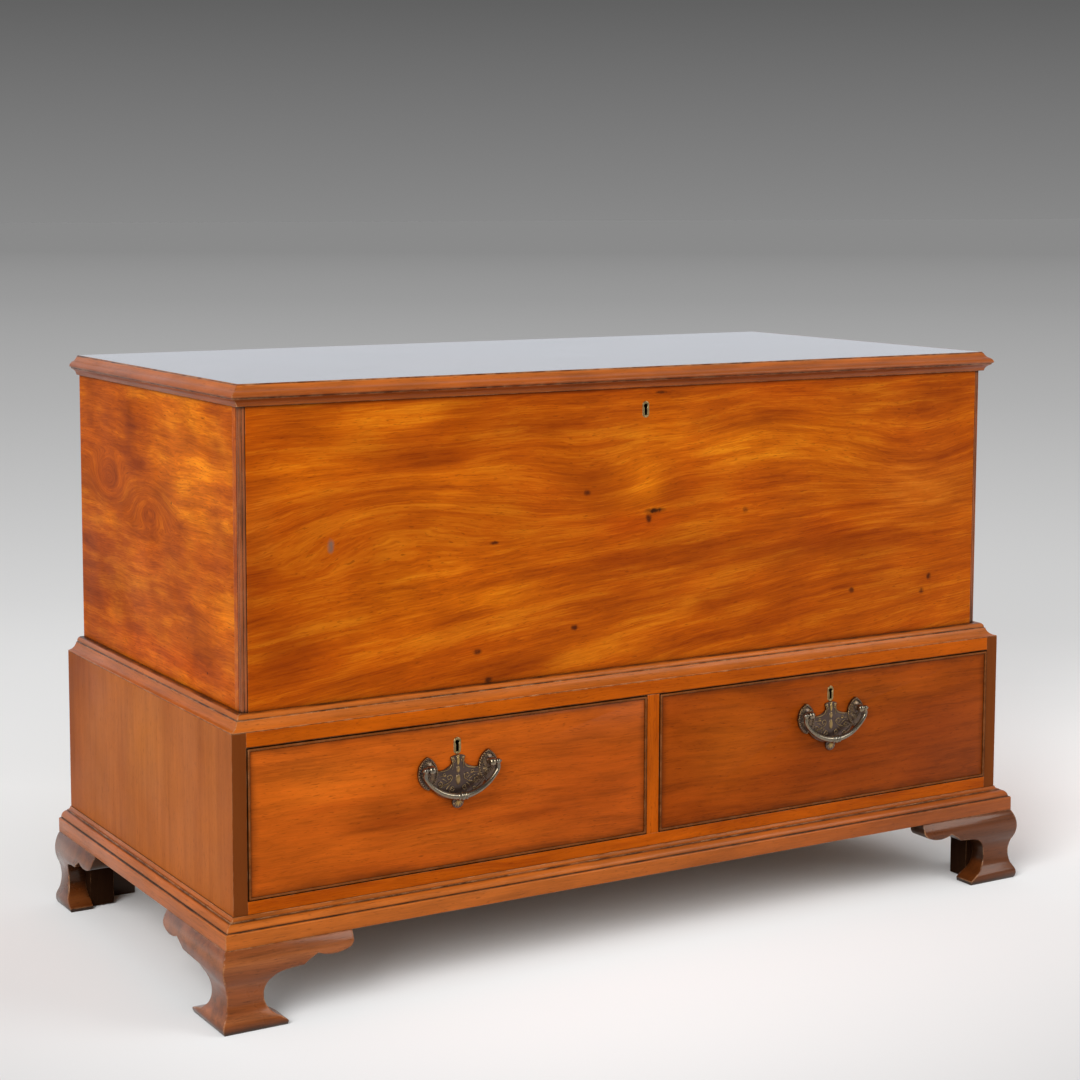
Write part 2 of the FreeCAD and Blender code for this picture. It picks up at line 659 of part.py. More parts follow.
def lid(hinge_recesses):
    play = size("lid_side_gap")
    edge_x, edge_y = coffer_x + play, coffer_front - play
    strike_x = size("strike_width") / 2
    middle = coffer_inside_y - size("coffer_lock_deep") / 2
    strike_y = (middle - size("strike_depth") / 2, middle + size("strike_depth") / 2)
    plate_z = (lid_z, lid_z + size("plate"))
    board = box("lid_panel", (-edge_x, edge_x), (edge_y, back), (lid_z, lid_top))
    recess = box("strike_recess", (-strike_x, strike_x), strike_y, (lid_z - 1, plate_z[1]))
    node("lid_board", cut("lid_panel_cut", board, recess, *hinge_recesses))

    staples = []
    eye_low, eye_high = staple_eye()
    for side in (-1, 1):
        x = size("staple_spacing") / 2 * side
        thin, wide = size("staple_thick") / 2, size("staple_wide") / 2
        loop = box(f"staple_{side + 1}", (x - thin, x + thin), (middle - wide, middle + wide),
                   (lid_z - size("staple_drop"), plate_z[1]))
        half_eye = size("staple_wide") / 4 + size("moving_gap")
        eye = box(f"staple_eye_{side + 1}", (x - thin - 1, x + thin + 1),
                  (middle - half_eye, middle + half_eye), (eye_low, eye_high))
        staples.append(cut(f"staple_loop_{side + 1}", loop, eye))
    node("lid_strike", fuse("strike_plate", box("strike_bar", (-strike_x, strike_x), strike_y, plate_z),
                            *staples))

    lip, nose = size("lid_lip"), size("lid_nose")
    tall = lip + size("lid_board")
    # a cove rises under the nose, and an ogee slopes back from it to the board's edge
    moulding_set("lid_moulding", coffer_x, coffer_front, (lid_z - lip, lid_top), [
        (play, 0), (nose * 0.3, tall * 0.01), ((nose * 0.42, tall * 0.18), (nose * 0.74, tall * 0.32)),
        (nose * 0.84, tall * 0.36), (nose * 0.84, tall * 0.41),
        ((nose * 0.97, tall * 0.44), (nose, tall * 0.51)), ((nose * 0.88, tall * 0.62), (nose * 0.61, tall * 0.71)),
        ((nose * 0.36, tall * 0.83), (nose * 0.25, tall * 0.94)), (nose * 0.17, tall * 0.96),
        (nose * 0.17, tall), (play, tall)])


# ---------------------------------------------------------------- drawers

class Drawer:
    """Planes of one drawer, from its opening in the case."""

    def __init__(self, side, name):
        self.side, self.name = side, name
        gap = size("drawer_gap")
        muntin = size("muntin") / 2
        self.centre = (inside + muntin) / 2 * side
        self.half = (inside - muntin) / 2 - gap
        self.x = (self.centre - self.half, self.centre + self.half)
        self.z = (opening_z + gap, top_rail_z - gap)
        self.foot = opening_z + size("running_gap")
        self.front_back = front + size("drawer_front")
        self.y_end = lower_back - size("drawer_back_gap")
        self.key_z = top_rail_z - size("keyhole_drop")
        self.post_z = top_rail_z - size("handle_drop")

    def across(self, offset):
        return self.centre + offset

    def around(self, half):
        return self.centre - half, self.centre + half


def dovetails(name, drawer, x, z):
    """Tails at the front end of one side, which lap into the drawer's front and flare towards its face."""
    count = int(size("dovetails").number)
    pitch = (z[1] - z[0]) / count
    tip_y = front + size("cockbead_deep") + size("dovetail_cover")
    root = pitch * 0.32
    tip = root + size("dovetail_flare")
    tails = []
    for index in range(count):
        middle = z[0] + pitch * (index + 0.5)
        plan = outline(f"{name}_outline_{index}", "YZ", (drawer.front_back, middle - root),
                       (drawer.front_back, middle + root), (tip_y, middle + tip), (tip_y, middle - tip))
        tails.append(extrude(f"{name}_{index}", plan, "x", *x))
    return tails


def drawer_box(drawer):
    """Front, sides, back and bottom; dovetails join sides and front, the bottom sits in grooves."""
    name = drawer.name
    bead, deep = size("cockbead"), size("cockbead_deep")
    side, rise, thick = size("drawer_side"), size("bottom_rise"), size("drawer_bottom")
    x, z = drawer.x, drawer.z
    floor_z = drawer.foot + rise
    bottom_z = (floor_z, floor_z + thick)
    groove = size("groove")
    bead_back = front + deep

    slab = box(f"{name}_slab", x, (front, drawer.front_back), z)
    rebate = cut(f"{name}_bead_rebate",
                 box(f"{name}_rebate_block", (x[0] - 1, x[1] + 1), (front - 1, bead_back),
                     (z[0] - 1, z[1] + 1)),
                 box(f"{name}_face_block", (x[0] + bead, x[1] - bead), (front - 2, bead_back + 1),
                     (z[0] + bead, z[1] - bead)))
    bottom_groove = box(f"{name}_front_groove", (x[0] + side - groove, x[1] - side + groove),
                        (drawer.front_back - groove, drawer.front_back + 1), bottom_z)
    lock_x = drawer.around(size("lock_width") / 2)
    lock_recess = box(f"{name}_lock_recess", lock_x,
                      (drawer.front_back - size("lock_deep"), drawer.front_back + 1),
                      (z[1] - size("lock_height"), z[1] + 1))
    inlay = escutcheon_prism(f"{name}_inlay", drawer.centre, drawer.key_z,
                             (front - 1, front + size("escutcheon_deep")))
    key_way = keyhole_prism(f"{name}_key_way", drawer.centre, drawer.key_z,
                            (front, drawer.front_back - size("lock_deep") + 1))
    post_holes = [cylinder(f"{name}_post_hole_{way + 1}", size("post_shank") + size("shank_play"),
                           size("drawer_front") + 2, Y, drawer.across(size("post_spacing") / 2 * way),
                           front - 1, drawer.post_z) for way in (-1, 1)]

    side_top = z[1] - rise
    sides, sockets = [], []
    for way, (low, high) in (("left", (x[0], x[0] + side)), ("right", (x[1] - side, x[1]))):
        plank = box(f"{name}_{way}_plank", (low, high), (drawer.front_back, drawer.y_end),
                    (drawer.foot, side_top))
        tails = dovetails(f"{name}_{way}_tail", drawer, (low, high), (drawer.foot, side_top))
        slot_x = (high - groove, high + 1) if way == "left" else (low - 1, low + groove)
        slot = box(f"{name}_{way}_slot", slot_x, (drawer.front_back - groove, drawer.y_end + 1), bottom_z)
        sides.append(cut(f"{name}_{way}_side", fuse(f"{name}_{way}_tailed", plank, *tails), slot))
        sockets += tails
    node(f"{name}_drawer_sides", group(f"{name}_side_pair", *sides))
    node(f"{name}_drawer_front", cut(f"{name}_front_cut", slab, rebate, bottom_groove, lock_recess,
                                     inlay, key_way, *post_holes, *sockets))
    node(f"{name}_drawer_back", box(
        f"{name}_back_board", (x[0] + side, x[1] - side),
        (drawer.y_end - size("drawer_back"), drawer.y_end), (bottom_z[1], side_top - rise / 2)))
    node(f"{name}_drawer_bottom", box(
        f"{name}_bottom_panel", (x[0] + side - groove, x[1] - side + groove),
        (drawer.front_back - groove, drawer.y_end), bottom_z))

    ring = cut(f"{name}_bead_ring",
               box(f"{name}_bead_block", x, (front - size("cockbead_out"), bead_back), z),
               box(f"{name}_bead_void", (x[0] + bead, x[1] - bead), (front - FAR, bead_back + 1),
                   (z[0] + bead, z[1] - bead)))
    node(f"{name}_drawer_cockbead", ring)
    escutcheon(f"{name}_drawer_escutcheon", drawer.centre, drawer.key_z, front)


def drawer_lock(drawer):
    """Till lock let in behind the front; its bolt shoots up into the top rail."""
    name = drawer.name
    wall, gap = size("lock_wall"), size("moving_gap")
    y = (drawer.front_back - size("lock_deep"), drawer.front_back)
    top = drawer.z[1]
    bolt_x, bolt_half = size("bolt_width") / 2, size("bolt_thick") / 2
    middle = (y[0] + y[1]) / 2
    rest_top = top - gap
    case = box(f"{name}_lock_case", drawer.around(size("lock_width") / 2), y,
               (top - size("lock_height"), top))
    slot_z = (rest_top - size("bolt_height") - gap, top + 1)
    slot = box(f"{name}_bolt_slot", drawer.around(bolt_x + gap),
               (middle - bolt_half - gap, middle + bolt_half + gap), slot_z)
    key_way = keyhole_prism(f"{name}_lock_key_way", drawer.centre, drawer.key_z, (y[0] - 1, y[1] - wall))
    pin_z = drawer.key_z + size("keyhole_length") / 2 - size("keyhole_radius")
    pin = cylinder(f"{name}_lock_pin", size("key_pin"), size("lock_deep") - wall, -Y,
                   drawer.centre, y[1] - wall / 2, pin_z)
    node(f"{name}_drawer_lock", fuse(f"{name}_lock_body",
                                     cut(f"{name}_lock_shell", case, slot, key_way), pin))
    node(f"{name}_lock_bolt", box(f"{name}_bolt", drawer.around(bolt_x),
                                  (middle - bolt_half, middle + bolt_half),
                                  (rest_top - size("bolt_height"), rest_top)))
    room = gap * 2
    return box(f"{name}_bolt_mortise", drawer.around(bolt_x + room),
               (middle - bolt_half - room, middle + bolt_half + room),
               (top_rail_z - 1, top + size("bolt_throw") + room))


def handle_plate(drawer):
    """Cast crescent plate with a crest, a pendant and a pointed rose under each post."""
    name, z = drawer.name, drawer.post_z
    thick, spread = size("handle_plate"), size("post_spacing") / 2
    half_rose, top, bottom = size("rose_width") / 2, size("rose_top"), size("rose_bottom")
    crest, crest_half = size("crest_top"), size("crest_width") / 2
    belly, pendant = size("plate_drop"), size("pendant_drop")
    rose_front = front - size("rose_thick")

    def at(x, height):
        return drawer.across(x), z + height

    roses = []
    for way in (-1, 1):
        middle = spread * way
        waist = (top - bottom) / 2
        roses.append(outline(f"{name}_rose_{way + 1}", "XZ", at(middle, top),
                             (at(middle + half_rose, waist), at(middle, -bottom)),
                             (at(middle - half_rose, waist), at(middle, top))))
    tip = crest_half * 0.6
    crescent = outline(
        f"{name}_plate_outline", "XZ", at(-spread, crest * -0.6),
        (at(spread * -0.55, crest * -0.5), at(crest_half * -0.75, crest * 0.1)), at(-crest_half, crest * 0.8),
        (at(0, crest), at(crest_half, crest * 0.8)), at(crest_half * 0.75, crest * 0.1),
        (at(spread * 0.55, crest * -0.5), at(spread, crest * -0.6)), (at(spread * 0.75, belly * -0.75),
                                                                      at(tip, -belly)),
        (at(0, -pendant), at(-tip, -belly)),
        (at(spread * -0.75, belly * -0.75), at(-spread, crest * -0.6)))
    pieces = [extrude(f"{name}_crescent", crescent, "y", front - thick, front)]
    pieces += [extrude(f"{name}_rose_disc_{count}", rose, "y", rose_front, front)
               for count, rose in enumerate(roses)]
    holes = [cylinder(f"{name}_plate_hole_{way + 1}", size("post_shank") + size("shank_play"),
                      size("rose_thick") * 2, Y, drawer.across(spread * way), front - size("rose_thick") * 1.5, z)
             for way in (-1, 1)]
    node(f"{name}_handle_plate", cut(f"{name}_plate_cut", fuse(f"{name}_plate_body", *pieces), *holes))


def handle_posts(drawer):
    """Posts with a pierced, chamfered head in front of the plate and a square nut behind the drawer."""
    name, z = drawer.name, drawer.post_z
    head, flat, cheek = size("post_head"), size("post_flat"), size("post_cheek")
    shank, out = size("post_shank"), size("bail_out")
    eye = size("bail_pin") + size("pin_play")
    nut_seat = out + size("drawer_front")
    half_nut = size("nut") / 2
    pieces = []
    for way in (-1, 1):
        x = drawer.across(size("post_spacing") / 2 * way)
        part = f"{name}_post_{way + 1}"
        knob = turned_bar(f"{part}_head", x, front - out, z, (-flat, cheek), (0, head), (flat, cheek))
        bore = cylinder(f"{part}_eye", eye, flat * 4, X, x - flat * 2, front - out, z)
        stem = cylinder(f"{part}_stem", shank, nut_seat - cheek, Y, x, front - out + cheek, z)
        nut = box(f"{part}_nut", (x - half_nut, x + half_nut),
                  (drawer.front_back, drawer.front_back + size("nut_thick")), (z - half_nut, z + half_nut))
        pieces.append(fuse(part, cut(f"{part}_knob", knob, bore), stem, nut))
    node(f"{name}_handle_posts", group(f"{name}_post_pair", *pieces))


BAIL_STATIONS = 7
BAIL_END_CLIMB = 85


def handle_bail(drawer):
    """Bow that swells to a turned collar in the middle and ends in turned balls beside the posts."""
    name, z = drawer.name, drawer.post_z
    axis_y = front - size("bail_out")
    thin, thick = size("bail_end"), size("bail_middle")
    ball_radius = size("bail_ball")
    spread = size("post_spacing") / 2
    ball_x = spread + size("post_flat") + size("moving_gap") + ball_radius
    reach, drop = size("bail_reach"), size("bail_drop")
    # the bow's middle line is an arc through its lowest point and its two shoulders
    depth = drop - ball_radius * 2
    radius = (reach * reach + depth * depth) / (2 * depth)
    half_angle = math.asin(reach.number / radius.number)

    def ring(label, thickness, climb, along, height):
        return facet_ring(f"{name}_bail_{label}", thickness, climb, drawer.across(along), axis_y, z + height)

    rings = [ring("left_end", thin, -BAIL_END_CLIMB, -ball_x, 0)]
    for station in range(BAIL_STATIONS):
        along = station / (BAIL_STATIONS - 1) * 2 - 1
        angle = half_angle * along
        swell = math.cos(along * math.pi / 2) ** 2
        rings.append(ring(f"ring_{station}", thin + (thick - thin) * swell, math.degrees(angle),
                          radius * math.sin(angle), radius - drop - radius * math.cos(angle)))
    rings.append(ring("right_end", thin, BAIL_END_CLIMB, ball_x, 0))
    parts = [facet_loft(f"{name}_bail_bow", rings)]
    pin, flank = size("bail_pin"), ball_radius * 0.6
    for way in (-1, 1):
        # a turned ball with its pin towards the post
        inner = spread - size("post_flat") - ball_x
        parts.append(turned_bar(
            f"{name}_bail_ball_{way + 1}", drawer.across(ball_x * way), axis_y, z,
            (inner * way, pin), (ball_radius * -way, pin), (0, ball_radius), (ball_radius * way, flank)))
    bead, rise = size("collar_bead"), size("collar_out")
    parts.append(turned_bar(
        f"{name}_bail_collar", drawer.centre, axis_y, z - drop, (bead * -1.5, thick),
        (bead * -0.5, thick + rise), (bead * 0.5, thick + rise), (bead * 1.5, thick)))
    node(f"{name}_handle_bail", fuse(f"{name}_bail", *parts))


# ---------------------------------------------------------------- assembly

lower_case()
case_mouldings()
feet()
coffer_boards()
corner_beads()
coffer_lock()
lid(hinge_halves())

drawers = [Drawer(-1, "left"), Drawer(1, "right")]
mortises = []
for drawer in drawers:
    drawer_box(drawer)
    mortises.append(drawer_lock(drawer))
    handle_plate(drawer)
    handle_posts(drawer)
    handle_bail(drawer)
top_rail(mortises)
drawer_stops([drawer.centre for drawer in drawers])

doc.recompute()

failed = [thing.Label for thing in doc.Objects if {"Invalid", "Error"} & set(thing.State)]
failed += [thing.Label for thing in NODES if thing.Shape.isNull() or not thing.Shape.isValid()]
if failed:
    raise SystemExit(f"not built: {failed}")

os.makedirs("parts", exist_ok=True)
for thing in NODES:
    thing.Shape.exportStep(f"parts/{thing.Label}.step")
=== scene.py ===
"""Mahogany mule chest: worn timber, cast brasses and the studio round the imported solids."""

import json
import math

import bpy
from bpy.props import FloatProperty, FloatVectorProperty, PointerProperty
from mathutils import Matrix, Vector


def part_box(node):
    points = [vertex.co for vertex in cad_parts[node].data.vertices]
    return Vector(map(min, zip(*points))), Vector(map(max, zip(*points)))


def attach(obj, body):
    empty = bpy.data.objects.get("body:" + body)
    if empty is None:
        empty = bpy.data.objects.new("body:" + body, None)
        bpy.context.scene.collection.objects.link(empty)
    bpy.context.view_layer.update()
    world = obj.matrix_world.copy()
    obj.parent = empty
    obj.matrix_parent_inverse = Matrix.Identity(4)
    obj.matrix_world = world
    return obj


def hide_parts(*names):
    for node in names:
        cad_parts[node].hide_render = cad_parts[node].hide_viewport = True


bl_info = {
    "name": "Mule chest",
    "version": (1, 0, 0),
    "blender": (4, 5, 0),
    "location": "3D View > Sidebar > Mule chest",
    "description": "Finishes a mahogany mule chest: timbers, brasses, locks, hinges and studio",
    "category": "Object",
}

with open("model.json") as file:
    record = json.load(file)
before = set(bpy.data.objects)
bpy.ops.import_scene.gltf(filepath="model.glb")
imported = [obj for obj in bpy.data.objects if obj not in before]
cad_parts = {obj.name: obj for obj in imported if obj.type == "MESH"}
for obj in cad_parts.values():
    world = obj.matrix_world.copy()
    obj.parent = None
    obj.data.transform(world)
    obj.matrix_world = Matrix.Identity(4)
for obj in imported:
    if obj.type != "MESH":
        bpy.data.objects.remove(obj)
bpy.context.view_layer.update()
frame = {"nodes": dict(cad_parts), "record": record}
MM = 0.001


def linear(hex_colour):
    """An sRGB hex colour as linear red, green and blue."""
    parts = [int(hex_colour[i:i + 2], 16) / 255 for i in (1, 3, 5)]
    return tuple(p / 12.92 if p <= 0.04045 else ((p + 0.055) / 1.055) ** 2.4 for p in parts)


def colour(name, description, hex_colour):
    """A colour setting of a property group."""
    return FloatVectorProperty(name=name, description=description, subtype="COLOR", size=3,
                               min=0, max=1, default=linear(hex_colour))


def length(name, description, millimetres):
    """A length setting of a property group, given in millimetres."""
    return FloatProperty(name=name, description=description, subtype="DISTANCE", unit="LENGTH",
                         min=0, precision=5, default=millimetres * MM)


# ---------------------------------------------------------------- settings

class ChestTimber(bpy.types.PropertyGroup):
    """Colours of the timbers and the wear on them."""
    coffer_pale: colour("Coffer pale", "Brightest streaks of the coffer's mahogany", "#DD7A10")
    coffer_mid: colour("Coffer middle", "Main colour of the coffer's mahogany", "#C05804")
    coffer_dark: colour("Coffer dark", "Dark bands of the coffer's mahogany", "#983C02")
    lid_mid: colour("Lid", "Main colour of the lid's mahogany", "#5A3626")
    lid_dark: colour("Lid dark", "Dark bands of the lid's mahogany", "#38241C")
    case_mid: colour("Case sides", "Main colour of the lower case's sides", "#BC682A")
    case_dark: colour("Case sides dark", "Dark streaks of the lower case's sides", "#96480F")
    drawer_left: colour("Left drawer", "Main colour of the left drawer's front", "#C25A12")
    drawer_right: colour("Right drawer", "Main colour of the right drawer's front", "#A04608")
    moulding_mid: colour("Mouldings", "Main colour of the mouldings", "#BE6420")
    foot_mid: colour("Feet", "Main colour of the feet", "#84431A")
    cockbead_mid: colour("Cockbeads", "Main colour of the drawers' cockbeads", "#7C4218")
    stile: colour("Stile", "Dark old polish on the side boards' front edges", "#6A3414")
    oak_mid: colour("Oak", "Main colour of the drawer linings", "#A98254")
    pine_mid: colour("Pine", "Main colour of the back and floor", "#9C7347")
    # near black for the glue blocks, the feet's inner faces and the brasses' hollows: partly their own dark
    # and partly painted shade
    block: colour("Glue blocks", "Glue blocks and faces that were never polished", "#2C180C")
    # for knocks and old wax, and also for the painted shade in corners, quirks and the gap above the drawers
    grime_and_shade: colour("Grime", "Old wax and dirt in the corners", "#2A150A")
    # pale edges: partly polish worn thin and partly painted highlight
    worn_edge_highlight: colour("Rubbed edge", "Where the polish is worn thin on an edge", "#DDA272")
    arris: length("Arris", "Radius to which hands have worn the edges", 1.2)


class ChestBrass(bpy.types.PropertyGroup):
    """Colours of the metals."""
    brass: colour("Brass", "Bare brass where the patina is rubbed off", "#D9B26A")
    patina: colour("Patina", "Dark film on the bails and posts", "#80796C")
    lacquer: colour("Old lacquer", "Purple-brown film in the plates' hollows", "#705A50")
    thread: colour("Thread brass", "Brass of the keyhole threads", "#CDB27C")
    iron: colour("Iron", "Forged iron of locks and hinges", "#4A4744")


class ChestHandle(bpy.types.PropertyGroup):
    """Sizes of the cast bail handles and the keyhole threads."""
    post_spacing: length("Post spacing", "Distance between the two posts of a handle", 92)
    post_out: length("Post reach", "How far the bail's axis stands in front of the drawer", 14)
    post_head: length("Post head", "Radius of a post's round head", 5.9)
    plate_thick: length("Plate", "Thickness of the crescent plate", 2.2)
    rose_thick: length("Rose", "Thickness of the rose under a post", 3.5)
    rose_width: length("Rose width", "Width of a pointed rose", 29)
    rose_top: length("Rose top", "Rose's upper tip above the post", 15)
    rose_bottom: length("Rose bottom", "Rose's lower tip below the post", 30)
    pearl: length("Pearl", "Diameter of the pearls round a rose", 3.2)
    scroll: length("Scroll", "Thickness of the raised scrolls", 1.9)
    bail_reach: length("Bail reach", "From the middle of the bail to its shoulder", 57)
    bail_drop: length("Bail drop", "From the bail's axis to the middle of its collar", 41)
    bail_middle: length("Bail middle", "Radius of the bail beside its collar", 4.6)
    bail_end: length("Bail end", "Radius of the bail at its shoulders", 3.0)
    bail_ball: length("Bail ball", "Radius of the ball at each end of the bail", 4.2)
    thread: length("Keyhole thread", "Thickness of the brass thread round a keyhole", 1.7)
    nut: length("Nut", "Width of the square nut behind the drawer front", 12)


class ChestStudio(bpy.types.PropertyGroup):
    """Floor, backdrop, lamps and camera."""
    lens: FloatProperty(name="Lens", description="Focal length for a 36 mm wide film", unit="CAMERA",
                        default=75.15, min=10)
    key_power: FloatProperty(name="Key light", description="Power of the large lamp at the left",
                             subtype="POWER", unit="POWER", default=135, min=0)
    fill_power: FloatProperty(name="Fill light", description="Power of the lamp at the right",
                              subtype="POWER", unit="POWER", default=66, min=0)
    sky: FloatProperty(name="Room light", description="Strength of the even light of the room",
                       default=0.6, min=0)
    backdrop_top: colour("Backdrop", "Grey above the horizon", "#5E5E5E")
    backdrop_low: colour("Horizon", "Grey at the horizon", "#898989")


# ---------------------------------------------------------------- nodes

def add_node(tree, kind, inputs=(), **settings):
    """Add one node with its settings, and give its sockets values or links."""
    made = tree.nodes.new(kind)
    for key, value in settings.items():
        setattr(made, key, value)
    for key, value in dict(inputs).items():
        if isinstance(value, bpy.types.NodeSocket):
            tree.links.new(value, made.inputs[key])
        else:
            made.inputs[key].default_value = value
    return made


def opaque(rgb):
    """A linear colour with its alpha."""
    return (*rgb, 1)


def shade(rgb, factor):
    """A colour made darker or paler."""
    return tuple(min(1, part * factor) for part in rgb)


def new_material(name):
    """An empty material with its output."""
    material = bpy.data.materials.new(name)
    material.use_nodes = True
    tree = material.node_tree
    tree.nodes.clear()
    return material, tree, add_node(tree, "ShaderNodeOutputMaterial")


def put_material(material, *names):
    """Give a material to CAD nodes or pieces."""
    for name in names:
        thing = bpy.data.objects[name]
        if thing.material_slots:
            for slot in thing.material_slots:
                slot.material = material
        else:
            thing.data.materials.append(material)


# ---------------------------------------------------------------- timber

GRAIN_TURN = {"X": (0, 0, 0), "Y": (0, 0, -math.pi / 2), "Z": (0, math.pi / 2, 0)}
AXES = {"X": Vector((1, 0, 0)), "Y": Vector((0, 1, 0)), "Z": Vector((0, 0, 1))}
# a noise field's mean, taken off it to push things both ways
MEAN = (0.5, 0.5, 0.5)
# a colour mixing node's sockets: how much, the colour below, the one above, and what comes out
AMOUNT, BELOW, ABOVE, MIXED = 0, 6, 7, 2
# how dark the pores are, and the reach in metres below which a corner counts as a moulding's quirk
PORE_DEPTH, QUIRK_REACH = 0.5, 10 * MM


def swelling(tree, place, centre, radii):
    """One at the centre of an ellipsoid, falling smoothly to nothing at its skin; sizes in metres."""
    local = add_node(tree, "ShaderNodeMapping", {"Vector": place, "Location": centre, "Scale": radii},
                     vector_type="TEXTURE")
    ball = add_node(tree, "ShaderNodeTexGradient", {"Vector": local.outputs["Vector"]},
                    gradient_type="SPHERICAL")
    return add_node(tree, "ShaderNodeMapRange", {"Value": ball.outputs["Fac"]},
                    interpolation_type="SMOOTHSTEP").outputs["Result"]


def off_plane(tree, coordinate, at):
    """How far a coordinate is from a value, to either side."""
    off = add_node(tree, "ShaderNodeMath", {0: coordinate, 1: at}, operation="SUBTRACT")
    return add_node(tree, "ShaderNodeMath", {0: off.outputs["Value"]}, operation="ABSOLUTE").outputs["Value"]


def feathered(tree, place, along):
    """Places nudged along the grain, so that a patch of colour ends in streaks."""
    axis = AXES[along]
    for scale, reach in ((8, 16 * MM), (45, 5 * MM)):
        spread = add_node(tree, "ShaderNodeMapping", {
            "Vector": place, "Scale": Vector((scale,) * 3) - axis * scale * 0.7})
        field = add_node(tree, "ShaderNodeTexNoise", {"Vector": spread.outputs["Vector"], "Scale": 1.0})
        centred = add_node(tree, "ShaderNodeVectorMath", {0: field.outputs["Color"], 1: MEAN},
                           operation="SUBTRACT")
        place = add_node(tree, "ShaderNodeVectorMath", {
            0: centred.outputs["Vector"], 1: Vector((reach,) * 3) + axis * reach * 4, 2: place},
            operation="MULTIPLY_ADD").outputs["Vector"]
    return place


def edge_masks(tree, radius, reach=14 * MM):
    """Normal with softened edges, how near an edge is, and how deep in a corner a point is."""
    soft = add_node(tree, "ShaderNodeBevel", {"Radius": radius}, samples=4)
    face = add_node(tree, "ShaderNodeNewGeometry")
    turned_away = add_node(tree, "ShaderNodeVectorMath", {
        0: soft.outputs["Normal"], 1: face.outputs["Normal"]}, operation="DOT_PRODUCT")
    edge = add_node(tree, "ShaderNodeMapRange", {
        "Value": turned_away.outputs["Value"], "From Min": 0.998, "From Max": 0.93})
    open_sky = add_node(tree, "ShaderNodeAmbientOcclusion", {"Distance": reach}, samples=6)
    # a short reach looks into the quirks of a moulding, which are shallow
    shallow = 0.2 if reach < QUIRK_REACH else 0.0
    corner = add_node(tree, "ShaderNodeMapRange", {
        "Value": open_sky.outputs["AO"], "From Min": 0.72 + shallow, "From Max": 0.3 + shallow})
    return soft.outputs["Normal"], edge.outputs["Result"], corner.outputs["Result"]


